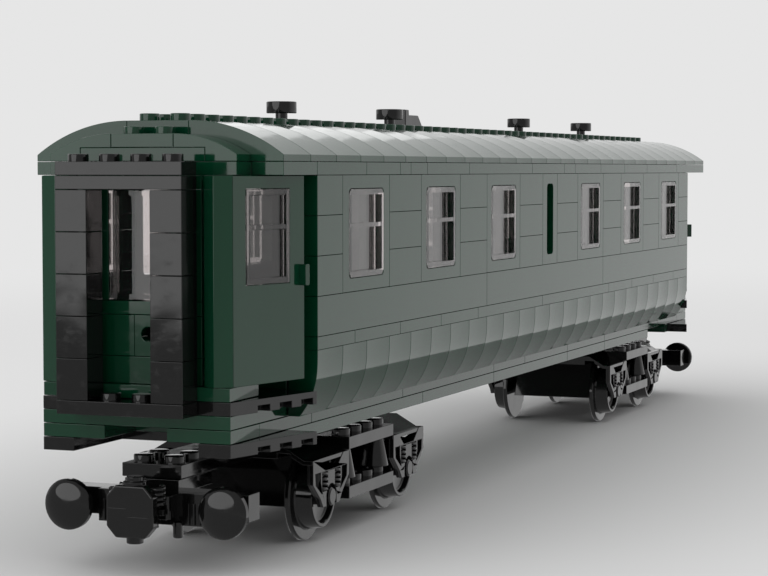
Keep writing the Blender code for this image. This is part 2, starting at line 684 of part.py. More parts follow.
SLOT_HALF = ((6.9, 6.9), (10.5, 6.9), (10.2, 4.0), (6.3, 1.4), (5.6, 1.4), (6.9, 4.2))
SPRING_A = (2.7, 5.8)                  # a coil spring in relief, from and to
SPRING_TOP, SPRING_PITCH, SPRING_TURNS = 6.3, 1.1, 4
COIL_OPEN, COIL_DEEP, COIL_RISE = 0.75, 0.8, 0.45
POST_TOP_R, POST_FOOT_R = 2.4, 3.8     # conical posts between the cross beams
POST_LIFT = 1.8                        # post's foot above the low beam, on its stud
BUFFER_Y = 20.3
BUFFER_Z = -29.2
BUFFER_R = 5.6
NECK_R = 2.6
BUFFER_DOME = (   # (share of the radius, behind the face)
    (0.0, 0.0), (0.34, 0.12), (0.67, 0.5), (0.93, 1.2), (1.0, 1.7), (1.0, 3.1), (0.93, 3.4),
)
BEAM_Z = (-10 * PLATE, -8 * PLATE)
HANGER_BACK, HANGER_HALF = BEAM_BACK - 10.0, 7.0    # block between the tongue and the beam
HOUSING_BACK_HALF, HOUSING_BACK_T = 14.0, 1.8
HOUSING_BACK_Z = -33.3
HOUSING_HALF, HOUSING_Z, HOUSING_R = 6.5, (-31.5, -26.0), 1.2
RIB_EDGE, RIB_STEP, RIB_COUNT, RIB_HALF, RIB_PROUD = 1.6, 1.4, 3, 0.3, 0.5
RIB_Z = (-33.0, -28.0)
STUB_FOOT_Y, STUB_FOOT_R, STUB_FOOT_Z = 6.8, 1.6, -36.2
COUPLER_Z = BUFFER_Z + 0.3
COUPLER_HALF, COUPLER_HIGH, COUPLER_CUT = 6.0, 6.1, 2.3
COUPLER_CUT_Z = 3.5
PLATE_T = 3.0                          # coupler's front plate
NECK_HALF, NECK_HIGH = 4.0, 4.4
COUPLER_BAR = (7.2, 2.4, -2.4, -0.4)   # half width, length, and its two heights
PIN_BACK, PIN_R, PIN_LOW, PIN_HIGH = 3.0, 2.0, -7.6, 8.0
COLLAR_R, COLLAR_TOP = 2.8, 6.9
LINK_Y, LINK_R, LINK_TURNS, LINK_PITCH = 5.2, (1.6, 1.0), 4, 1.0


class Bogie:
    """A bogie: a counts from its pivot towards the coach's end."""

    def __init__(self, name, pivot, out):
        self.name = name
        self.pivot = pivot
        self.out = out

    def x(self, a):
        return self.pivot + self.out * a

    def outline(self, points, about=0.0, height=0.0):
        """Points (a, h) about a place along the bogie and a height, as (x, z)."""
        return [(self.x(about + a), height + h) for a, h in points]

    def box(self, a0, a1, y0, y1, z0, z1):
        return box(self.x(a0), self.x(a1), y0, y1, z0, z1)

    def axles(self):
        return (("outer", WHEELBASE / 2), ("inner", -WHEELBASE / 2))


BOGIES = (Bogie("near", GEAR_MID - PIVOT_OFFSET, -1.0), Bogie("far", GEAR_MID + PIVOT_OFFSET, 1.0))


def holder(bogie, axle):
    """Plate whose shoulders slope down to the side castings, and the axle's bearing block."""
    half = [(0.0, Z_PLATE_TOP)] + list(SHOULDER) + [(0.0, Z_PLATE)]
    x0, x1 = bogie.x(axle - HOLDER_HALF), bogie.x(axle + HOLDER_HALF)
    foot = -AXLE_BELOW_FLOOR - BEARING_FOOT
    return [long_prism(both_halves(half), x0, x1),
            bogie.box(axle - BEARING_HALF, axle + BEARING_HALF, -SPINE_HALF, SPINE_HALF, foot, Z_PLATE + GAP)]


def casting(bogie, axle, side):
    """Side casting: horns, saddle and an open fork round the hub."""
    fork = arc(0.0, 0.0, FORK_R, 0, 90, 4)
    outline = both_halves(list(CASTING_HALF) + fork)
    plate = side_prism(bogie.outline(outline, axle, -AXLE_BELOW_FLOOR),
                       side * CASTING_BACK, side * CASTING_FRONT)
    reach = SHOULDER[1][1], SHOULDER[3][1]
    roots = [bogie.box(axle + flip * HORN_ROOT[0], axle + flip * HORN_ROOT[1],
                       side * SHOULDER[1][0], side * (CASTING_FRONT - HALF_GAP), *reach) for flip in (-1, 1)]
    return [plate] + roots


def casting_cuts(bogie, axle, side):
    """Through slots beside the springs, and the grooves between a spring's coils."""
    cuts = []
    front = side * CASTING_FRONT
    for flip in (-1, 1):
        slot = [(flip * a, h) for a, h in SLOT_HALF]
        cuts.append(side_prism(bogie.outline(slot, axle, -AXLE_BELOW_FLOOR),
                               side * (CASTING_BACK - OVER / 2), front + side * OVER))
        for i in range(SPRING_TURNS):
            z = -AXLE_BELOW_FLOOR + SPRING_TOP - i * SPRING_PITCH
            start, stop = sorted(bogie.x(axle + flip * a) for a in SPRING_A)
            vee = [(start, front + side * HALF_GAP, z + COIL_OPEN / 2), (start, front - side * COIL_DEEP, z),
                   (start, front + side * HALF_GAP, z - COIL_OPEN / 2)]
            cuts.append(pulled(vee, (stop - start, 0, -COIL_RISE)))
    return cuts


def post(x, y):
    """Conical post that stands on a stud of the low beam and carries the upper one."""
    top, foot = Z_PLATE + GAP, Z_LOW_TOP + POST_LIFT
    profile = [(0.0, top), (POST_TOP_R, top), (POST_FOOT_R, foot + GAP), (POST_FOOT_R, foot),
               (STUD_R, foot), (STUD_R, Z_LOW_TOP - GAP), (0.0, Z_LOW_TOP - GAP)]
    return turned(profile, frame_at(x, y, 0.0), MID_SIDES)


def make_bogie_frame(shop, bogie):
    half = WHEELBASE / 2
    w = HALF_NARROW
    add = [
        bogie.box(TONGUE_START, TONGUE_REACH, -TONGUE_HALF, TONGUE_HALF, Z_PLATE, Z_PLATE_TOP),
        bogie.box(-BEAM_HALF, BEAM_HALF, -w, w, Z_PLATE, Z_PLATE_TOP),
        bogie.box(-BEAM_HALF, BEAM_HALF, -w, w, Z_LOW, Z_LOW_TOP),
        bogie.box(-BEAM_HALF, BEAM_HALF, -BEARER_HALF, BEARER_HALF, Z_PLATE - BEARER_DEEP, Z_PLATE + GAP),
    ]
    top_rows, low_rows = [], []
    for i in range(4):
        for _, side in SIDES:
            x, y = bogie.x((i - 1.5) * STUD), side * 2.5 * STUD
            top_rows.append((x, y))
            if i in (0, 3):
                add.append(post(x, y))
            else:
                low_rows.append((x, y))
    for a in (TONGUE_REACH - STUD / 2, TONGUE_REACH - 1.5 * STUD):
        top_rows += [(bogie.x(a), side * STUD / 2) for _, side in SIDES]
    add += [studs(top_rows, Z_PLATE_TOP), studs(low_rows, Z_LOW_TOP)]
    cut = [rod(bogie.pivot, 0, Z_PLATE - BEARER_DEEP - OVER, "z", PIVOT_R + GAP / 2, PLATE + BEARER_DEEP + 2 * OVER)]
    grooves = []
    for _, axle in bogie.axles():
        add += holder(bogie, axle)
        bore = SPINE_HALF + OVER
        cut.append(rod(bogie.x(axle), -bore, -AXLE_BELOW_FLOOR, "y", BORE_R, 2 * bore, MID_SIDES))
        for _, side in SIDES:
            add += casting(bogie, axle, side)
            grooves += casting_cuts(bogie, axle, side)
    frame = shop.solid(f"bogie_frame_{bogie.name}", "black_plastic",
                       bogie.box(-half, half, -SPINE_HALF, SPINE_HALF, Z_PLATE, Z_PLATE_TOP),
                       add=add, cut=cut + [joined(grooves)])
    set_origin(frame, place(bogie.pivot, 0, Z_PLATE_TOP))


def make_wheelset(shop, name, x):
    """Axle and its two flanged wheels, turned as one piece."""
    dish = WHEEL_OUT - DISH_DEEP
    wheel = [(HUB_R, WHEEL_OUT + HUB_PROUD), (HUB_R, dish), (DISH_R, dish), (DISH_R + DISH_FLARE, WHEEL_OUT),
             (TREAD_R_OUT, WHEEL_OUT), (TREAD_R, WHEEL_OUT - TREAD_WIDE), (FLANGE_R, WHEEL_OUT - TREAD_WIDE),
             (FLANGE_R, WHEEL_IN), (AXLE_R, WHEEL_IN)]
    profile = [(0.0, WHEEL_OUT + HUB_PROUD)] + wheel
    profile += [(radius, -along) for radius, along in reversed(profile)]
    z = -AXLE_BELOW_FLOOR
    ob = shop.solid(name, "black_plastic", turned(profile, frame_at(x, 0, z, "y"), WHEEL_SIDES))
    set_origin(ob, place(x, 0, z))


def make_beam(shop, bogie):
    """Buffer beam with its two buffers and the housing that holds the coupler."""
    z0, z1 = BEAM_Z
    front = BEAM_FRONT - OVER
    add = [bogie.box(HANGER_BACK, TONGUE_REACH, -HANGER_HALF, HANGER_HALF, z1 - GAP, Z_PLATE - GAP),
           bogie.box(front, BEAM_FRONT + HOUSING_BACK_T, -HOUSING_BACK_HALF, HOUSING_BACK_HALF,
                     HOUSING_BACK_Z, z1)]
    w = HOUSING_HALF
    nose = arc(HOUSING_FRONT - HOUSING_R, w - HOUSING_R, HOUSING_R, 90, 0, 3)
    nose += [(a, -b) for a, b in reversed(nose)]
    plan = [(bogie.x(a), b) for a, b in [(front, w)] + nose + [(front, -w)]]
    add.append(plan_prism(plan, *HOUSING_Z))
    for _, side in SIDES:
        neck = BEAM_FRONT - OVER
        dome = [(share * BUFFER_R, bogie.out * (BUFFER_REACH - behind)) for share, behind in BUFFER_DOME]
        dome += [(NECK_R, bogie.out * (BUFFER_REACH - BUFFER_DOME[-1][1])), (NECK_R, bogie.out * neck),
                 (0.0, bogie.out * neck)]
        add.append(turned(dome, frame_at(bogie.pivot, side * BUFFER_Y, BUFFER_Z, "x")))
        foot = bogie.x(BEAM_FRONT + HOUSING_BACK_T)
        add.append(rod(foot, side * STUB_FOOT_Y, STUB_FOOT_Z, "z", STUB_FOOT_R,
                       HOUSING_BACK_Z + OVER - STUB_FOOT_Z, MID_SIDES))
        for i in range(RIB_COUNT):
            y = side * (HOUSING_BACK_HALF - RIB_EDGE - i * RIB_STEP)
            add.append(bogie.box(BEAM_FRONT, BEAM_FRONT + HOUSING_BACK_T + RIB_PROUD,
                                 y - RIB_HALF, y + RIB_HALF, *RIB_Z))
    ob = shop.solid(f"buffer_beam_{bogie.name}", "black_plastic",
                    bogie.box(BEAM_BACK, BEAM_FRONT, -HALF_NARROW, HALF_NARROW, z0, z1), add=add)
    set_origin(ob, place(bogie.pivot, 0, Z_PLATE_TOP))


def make_coupler(shop, bogie):
    """Eight-sided face plate on a short neck, with a pin through it and two link springs."""
    face, back = COUPLER_REACH, HOUSING_FRONT + GAP
    z = COUPLER_Z
    corner, rise = COUPLER_HALF - COUPLER_CUT, COUPLER_CUT_Z
    quarter = [(corner, COUPLER_HIGH), (COUPLER_HALF, rise), (COUPLER_HALF, -rise), (corner, -COUPLER_HIGH)]
    outline = [(b, z + h) for b, h in quarter] + [(-b, z + h) for b, h in reversed(quarter)]
    plate_back = face - PLATE_T
    bar_half, bar_len, bar_low, bar_high = COUPLER_BAR
    pin = bogie.x(face - PIN_BACK)
    add = [bogie.box(back, plate_back + OVER, -NECK_HALF, NECK_HALF, z - NECK_HIGH, z + NECK_HIGH),
           bogie.box(plate_back - bar_len, plate_back, -bar_half, bar_half, z + bar_low, z + bar_high),
           rod(pin, 0, z + PIN_LOW, "z", PIN_R, PIN_HIGH - PIN_LOW, MID_SIDES),
           rod(pin, 0, z, "z", COLLAR_R, COLLAR_TOP, MID_SIDES)]
    wide, thin = LINK_R
    top = z + bar_high + LINK_TURNS * LINK_PITCH
    coils = [(0.0, top)]
    for i in range(LINK_TURNS):
        high = top - i * LINK_PITCH
        coils += [(thin, high), (wide, high - LINK_PITCH / 2)]
    coils += [(thin, z + bar_high - HALF_GAP), (0.0, z + bar_high - HALF_GAP)]
    for _, side in SIDES:
        spring = frame_at(bogie.x(plate_back - bar_len / 2), side * LINK_Y, 0.0)
        add.append(turned(coils, spring, STUD_SIDES))
    ob = shop.solid(f"coupler_{bogie.name}", "black_plastic",
                    long_prism(outline, bogie.x(plate_back), bogie.x(face)), add=add)
    set_origin(ob, place(bogie.pivot, 0, Z_PLATE_TOP))


def make_bogie(shop, bogie):
    make_bogie_frame(shop, bogie)
    for label, axle in bogie.axles():
        make_wheelset(shop, f"wheelset_{bogie.name}_{label}", bogie.x(axle))
    make_beam(shop, bogie)
    make_coupler(shop, bogie)


def main():
    for ob in list(bpy.data.objects):
        bpy.data.objects.remove(ob)
    shop = Shop()
    make_floor(shop)
    make_steps(shop)
    make_underframe(shop)
    make_sides(shop)
    make_eaves(shop)
    make_roof(shop)
    make_roof_ends(shop)
    make_roof_fittings(shop)
    make_ends(shop)
    for bogie in BOGIES:
        make_bogie(shop, bogie)


main()
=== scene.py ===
"""Looks of the toy brick passenger coach: bricks, finishes, stage, light and camera.

Lengths in the classes are millimetres. Along X they count from the front of the near
end's plates, and heights count from the top of the floor plate, as in the part's source.
Form turns them into metres in the part's frame when a piece is finished.
"""
from __future__ import annotations

import json
import logging
import math
from dataclasses import dataclass, field
from enum import Enum

import bmesh
import bpy
from mathutils import Matrix, Vector

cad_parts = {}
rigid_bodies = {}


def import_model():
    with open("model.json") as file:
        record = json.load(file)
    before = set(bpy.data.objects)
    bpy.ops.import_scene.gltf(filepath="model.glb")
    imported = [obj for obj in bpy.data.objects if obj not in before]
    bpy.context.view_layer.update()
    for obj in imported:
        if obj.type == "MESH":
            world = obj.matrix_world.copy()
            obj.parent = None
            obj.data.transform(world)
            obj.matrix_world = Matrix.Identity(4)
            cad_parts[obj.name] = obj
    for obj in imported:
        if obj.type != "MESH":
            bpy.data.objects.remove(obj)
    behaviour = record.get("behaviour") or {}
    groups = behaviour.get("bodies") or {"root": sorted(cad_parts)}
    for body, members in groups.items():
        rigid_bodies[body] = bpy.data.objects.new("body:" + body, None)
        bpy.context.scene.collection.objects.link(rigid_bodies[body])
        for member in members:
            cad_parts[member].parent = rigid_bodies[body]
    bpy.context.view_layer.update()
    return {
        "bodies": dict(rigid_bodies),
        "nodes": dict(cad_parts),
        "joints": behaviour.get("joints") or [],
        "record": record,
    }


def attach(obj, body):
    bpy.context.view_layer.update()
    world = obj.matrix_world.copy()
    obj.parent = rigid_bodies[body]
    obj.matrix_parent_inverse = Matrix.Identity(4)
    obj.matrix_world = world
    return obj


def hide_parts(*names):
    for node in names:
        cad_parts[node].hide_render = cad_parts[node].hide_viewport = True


LOG = logging.getLogger("coach")

MM = 0.001
STUD = 8.0
PLATE = 3.2
SEAM = 0.05                      # half the gap between two bricks
LENGTH = 56 * STUD               # of the floor plates
X_MIDDLE = 225.7                 # the part's origin, from the near end
FLOOR_Z = 44.3                   # top of the floor plate above the ground
PIVOTS = (88.0, 368.0)           # of the bogies, along the coach
SLANT = math.atan2(STUD, 4 * STUD)  # between the doors and the length of the coach
EDGE = 0.15                      # usual width of the rounded edges
FINE_EDGE = 0.12                 # their width on walls, roof, steps and glazing
TO_ROW = Matrix.Scale(MM, 4) @ Matrix.Translation((-X_MIDDLE, 0.0, FLOOR_Z))

Point = tuple[float, float]
Place = tuple[float, float, float]
Outline = list[Point]
Span = tuple[float, float]
Color = tuple[float, float, float, float]


class Facing(Enum):
    """Plane of an outline: the axes of its two coordinates."""

    PLAN = ("x", "y")
    SIDE = ("x", "z")
    CROSS = ("y", "z")

    def frame(self, start: float) -> Matrix:
        """Frame of an outline, with the outline's normal as its Z.

        Args:
            start: place along the axis that the outline stands across.

        Returns:
            The frame. For SIDE its Z points to -Y.
        """
        axes = {"x": Vector((1, 0, 0)), "y": Vector((0, 1, 0)), "z": Vector((0, 0, 1))}
        across, up = axes[self.value[0]], axes[self.value[1]]
        normal = across.cross(up)
        turn = Matrix((across, up, normal)).transposed().to_4x4()
        along = -start if self is Facing.SIDE else start
        return Matrix.Translation(normal * along) @ turn


class Axis(Enum):
    """Direction of a turned shape."""

    X = Matrix.Rotation(math.radians(90), 4, "Y")
    Y = Matrix.Rotation(math.radians(-90), 4, "X")
    Z = Matrix.Identity(4)


class Side(Enum):
    """Side of the coach, seen from its near end, with the sign of its Y."""

    RIGHT = -1.0
    LEFT = 1.0

    @property
    def label(self) -> str:
        """Its word in the names of pieces."""
        return self.name.lower()


class Step(Enum):
    """Slanted step plate: height of its underside, and whether its middle is open."""

    UPPER = (-2 * PLATE + SEAM, False)
    LOWER = (-5 * PLATE + SEAM, True)


def arc(middle: Point, radius: float, start: float, end: float, steps: int) -> Outline:
    """Points on an arc.

    Args:
        middle: centre of the arc.
        radius: its radius.
        start: first angle in degrees.
        end: last angle in degrees.
        steps: number of straight steps.

    Returns:
        The points, both ends included.
    """
    angles = [math.radians(start + (end - start) * i / steps) for i in range(steps + 1)]
    return [(middle[0] + radius * math.cos(a), middle[1] + radius * math.sin(a)) for a in angles]


def rounded(x: Span, z: Span, radius: float, steps: int = 5) -> Outline:
    """Rectangle with round corners.

    Args:
        x: its span along the first coordinate.
        z: its span along the second one.
        radius: radius of the corners.
        steps: straight steps in a corner.

    Returns:
        The closed outline.
    """
    corners = ((x[1] - radius, z[1] - radius, 0), (x[0] + radius, z[1] - radius, 90),
               (x[0] + radius, z[0] + radius, 180), (x[1] - radius, z[0] + radius, 270))
    return [point for cx, cz, turn in corners
            for point in arc((cx, cz), radius, turn, turn + 90, steps)]


def rectangle(x: Span, z: Span) -> Outline:
    """Plain rectangle."""
    return [(x[0], z[0]), (x[1], z[0]), (x[1], z[1]), (x[0], z[1])]


def smooth_line(points: Outline, per: int = 4) -> Outline:
    """Points on a smooth curve.

    Args:
        points: places that the curve runs through.
        per: steps between two of them.

    Returns:
        The points, both ends included.
    """
    ends = [points[0]] + points + [points[-1]]
    out: Outline = []
    for a, b, c, d in zip(ends, ends[1:], ends[2:], ends[3:]):
        for i in range(per):
            t = i / per
            out.append(tuple(
                0.5 * (2 * q + (r - p) * t + (2 * p - 5 * q + 4 * r - s) * t * t
                       + (3 * q - p - 3 * r + s) * t ** 3)
                for p, q, r, s in zip(a, b, c, d)))
    return out + [points[-1]]


def both_halves(half: Outline) -> Outline:
    """Closed outline from its half, whose first and last points are on the middle."""
    return half + [(-a, h) for a, h in reversed(half[1:-1])]


def seamed(joints: tuple[float, ...] | list[float], unit: float = 1.0) -> list[Span]:
    """Spans of the bricks between joints, shorter by a seam at both ends.

    Args:
        joints: places of the joints.
        unit: length that they count in.

    Returns:
        A span for each brick.
    """
    return [(a * unit + SEAM, b * unit - SEAM) for a, b in zip(joints, joints[1:])]


def ordered(a: float, b: float) -> Span:
    """Span between two places, the lower one first."""
    return (min(a, b), max(a, b))


class Form:
    """Mesh of one piece, gathered in millimetres from closed shapes."""

    SHARP = math.radians(32)
    FLAT = math.radians(0.4)         # faces at a smaller angle are one face
    WELD = 1e-4
    STUD_RADIUS, STUD_HEIGHT, STUD_RIM = 2.4, 1.7, 0.22
    STUD_FOOT = 0.3                  # how far a stud reaches into its brick

    def __init__(self) -> None:
        """Start with an empty mesh."""
        self.bm = bmesh.new()

    def block(self, x: Span, y: Span, z: Span) -> None:
        """Add a box.

        Args:
            x: its span along the coach.
            y: its span across.
            z: its heights.
        """
        spans = (x, y, z)
        middle = Matrix.Translation([(a + b) / 2 for a, b in spans])
        size = Matrix.Diagonal([abs(b - a) for a, b in spans] + [1.0])
        bmesh.ops.create_cube(self.bm, size=1.0, matrix=middle @ size)

    def slab(self, outlines: list[Outline], frame: Matrix, depth: float) -> None:
        """Add flat outlines, holes included, pulled along the frame's Z.

        Args:
            outlines: the outer line and the holes.
            frame: plane of the outlines.
            depth: thickness along the frame's Z.
        """
        curve = bpy.data.curves.new("outline", "CURVE")
        curve.dimensions = "2D"
        curve.fill_mode = "BOTH"
        curve.extrude = abs(depth) / 2
        for outline in outlines:
            spline = curve.splines.new("POLY")
            spline.points.add(len(outline) - 1)
            for target, (a, b) in zip(spline.points, outline):
                target.co = (a, b, 0.0, 1.0)
            spline.use_cyclic_u = True
        self.add_curve(curve, frame @ Matrix.Translation((0, 0, depth / 2)))

    def tube(self, path: list[Vector], radius: float) -> None:
        """Add a round wire, closed at both ends.

        Args:
            path: points on its middle.
            radius: radius of the wire.
        """
        curve = bpy.data.curves.new("wire", "CURVE")
        curve.dimensions = "3D"
        curve.bevel_depth = radius
        curve.bevel_resolution = 2
        curve.use_fill_caps = True
        spline = curve.splines.new("POLY")
        spline.points.add(len(path) - 1)
        for target, point in zip(spline.points, path):
            target.co = (*point, 1.0)
        self.add_curve(curve, Matrix.Identity(4))

    def add_curve(self, curve: bpy.types.Curve, frame: Matrix) -> None:
        """Add a curve's solid, with its flat faces joined up.

        Args:
            curve: the curve, which is removed afterwards.
            frame: where it stands.
        """
        ob = bpy.data.objects.new("curve", curve)
        bpy.context.scene.collection.objects.link(ob)
        depsgraph = bpy.context.evaluated_depsgraph_get()
        mesh = bpy.data.meshes.new_from_object(ob.evaluated_get(depsgraph))
        part = bmesh.new()
        part.from_mesh(mesh)
        bpy.data.meshes.remove(mesh)
        bmesh.ops.remove_doubles(part, verts=part.verts, dist=self.WELD)
        bmesh.ops.dissolve_limit(part, angle_limit=self.FLAT, verts=part.verts, edges=part.edges)
        self.take(part, frame)
        bpy.data.objects.remove(ob)
        bpy.data.curves.remove(curve)

    def take(self, part: bmesh.types.BMesh, frame: Matrix) -> None:
        """Add a closed mesh to this one.

        Args:
            part: the mesh, which is freed afterwards.
            frame: where it stands.
        """
        part.transform(frame)
        mesh = bpy.data.meshes.new("shape")
        part.to_mesh(mesh)
        part.free()
        self.bm.from_mesh(mesh)
        bpy.data.meshes.remove(mesh)

    def turned(self, profile: Outline, at: Place, axis: Axis = Axis.Z, sides: int = 32) -> None:
        """Add a solid of revolution.

        Args:
            profile: (radius, height) rows, first and last on the axis.
            at: point of height 0.
            axis: direction of the heights.
            sides: number of sides.
        """
        part = bmesh.new()
        verts = [part.verts.new((r, 0.0, h)) for r, h in profile]
        edges = [part.edges.new(pair) for pair in zip(verts, verts[1:])]
        bmesh.ops.spin(part, geom=verts + edges, cent=(0, 0, 0), axis=(0, 0, 1),
                       angle=math.tau, steps=sides, use_merge=True)
        bmesh.ops.remove_doubles(part, verts=part.verts, dist=self.WELD)
        self.take(part, Matrix.Translation(at) @ axis.value)

    def studs(self, places: list[Point], z: float) -> None:
        """Add studs with rounded rims.

        Args:
            places: their middles in plan.
            z: height of the face that they stand on.
        """
        r, h, rim = self.STUD_RADIUS, self.STUD_HEIGHT, self.STUD_RIM
        edge = arc((r - rim, h - rim), rim, 90, 0, 3)
        profile = [(0.0, h)] + edge + [(r, -self.STUD_FOOT), (0.0, -self.STUD_FOOT)]
        for x, y in places:
            self.turned(profile, (x, y, z), sides=24)

    def as_object(self) -> bpy.types.Object:
        """Turn the mesh into an object for a modifier, and let go of it.

        Returns:
            The object, in millimetres.
        """
        bmesh.ops.recalc_face_normals(self.bm, faces=self.bm.faces)
        mesh = bpy.data.meshes.new("shape")
        self.bm.to_mesh(mesh)
        self.bm.free()
        ob = bpy.data.objects.new("shape", mesh)
        bpy.context.scene.collection.objects.link(ob)
        return ob

    def cut(self, tool: Form) -> None:
        """Take another form's shape away from this one.

        Args:
            tool: the other form, which is used up.
        """
        body, cutter = self.as_object(), tool.as_object()
        mod = body.modifiers.new("cut", "BOOLEAN")
        mod.operation = "DIFFERENCE"
        mod.solver = "EXACT"
        mod.object = cutter
        depsgraph = bpy.context.evaluated_depsgraph_get()
        mesh = bpy.data.meshes.new_from_object(body.evaluated_get(depsgraph))
        self.bm = bmesh.new()
        self.bm.from_mesh(mesh)
        for done in (mesh, body.data, cutter.data):
            bpy.data.meshes.remove(done)

    def piece(self, name: str, body: str, finish: Finish, replaces: tuple[str, ...] = (),
              bevel: float = EDGE) -> bpy.types.Object:
        """Finish the piece.

        Args:
            name: name of the object.
            body: body that it moves with.
            finish: its finish, of which only the material is used.
            replaces: solids of the part that it stands for.
            bevel: width of the rounded edges, 0 for none.

        Returns:
            The object, in metres in the part's frame.
        """
        bmesh.ops.recalc_face_normals(self.bm, faces=self.bm.faces)
        mesh = bpy.data.meshes.new(name)
        self.bm.to_mesh(mesh)
        self.bm.free()
        mesh.transform(TO_ROW)
        mesh.materials.append(finish.material)
        ob = bpy.data.objects.new(name, mesh)
        bpy.context.scene.collection.objects.link(ob)
        shade(ob, bevel)
        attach(ob, body)
        if replaces:
            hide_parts(*replaces)
        LOG.info("%s: %d faces on %s", name, len(mesh.polygons), body)
        return ob


def shade(ob: bpy.types.Object, bevel: float) -> None:
    """Smooth shading with round or sharp edges.

    Args:
        ob: a mesh object.
        bevel: width of the rounded edges in millimetres, 0 for sharp ones.
    """
    ob.data.shade_smooth()
    if not bevel:
        ob.data.set_sharp_from_angle(angle=Form.SHARP)
        return
    mod = ob.modifiers.new("rounded edges", "BEVEL")
    mod.width = bevel * MM
    mod.segments = 2
    mod.limit_method = "ANGLE"
    mod.angle_limit = Form.SHARP
    mod.use_clamp_overlap = False
    mod.harden_normals = True


class Socket:
    """Node output with operators: numbers go through Math nodes, the rest through Vector Math."""

    def __init__(self, graph: Graph, output: bpy.types.NodeSocket) -> None:
        """Keep the graph and the output that this value comes from."""
        self.graph = graph
        self.output = output

    def __add__(self, other: Operand) -> Socket:
        """Sum of two values."""
        return self.graph.combine("ADD", self, other)

    def __radd__(self, other: Operand) -> Socket:
        """Sum with a plain value on the left."""
        return self.graph.combine("ADD", other, self)

    def __sub__(self, other: Operand) -> Socket:
        """Difference of two values."""
        return self.graph.combine("SUBTRACT", self, other)

    def __rsub__(self, other: Operand) -> Socket:
        """Difference with a plain value on the left."""
        return self.graph.combine("SUBTRACT", other, self)

    def __mul__(self, other: Operand) -> Socket:
        """Product of two values."""
        return self.graph.combine("MULTIPLY", self, other)

    def __rmul__(self, other: Operand) -> Socket:
        """Product with a plain value on the left."""
        return self.graph.combine("MULTIPLY", other, self)

    def __truediv__(self, other: Operand) -> Socket:
        """Quotient of two values."""
        return self.graph.combine("DIVIDE", self, other)

    def __rtruediv__(self, other: Operand) -> Socket:
        """Quotient with a plain value on the left."""
        return self.graph.combine("DIVIDE", other, self)


Operand = Socket | float | tuple


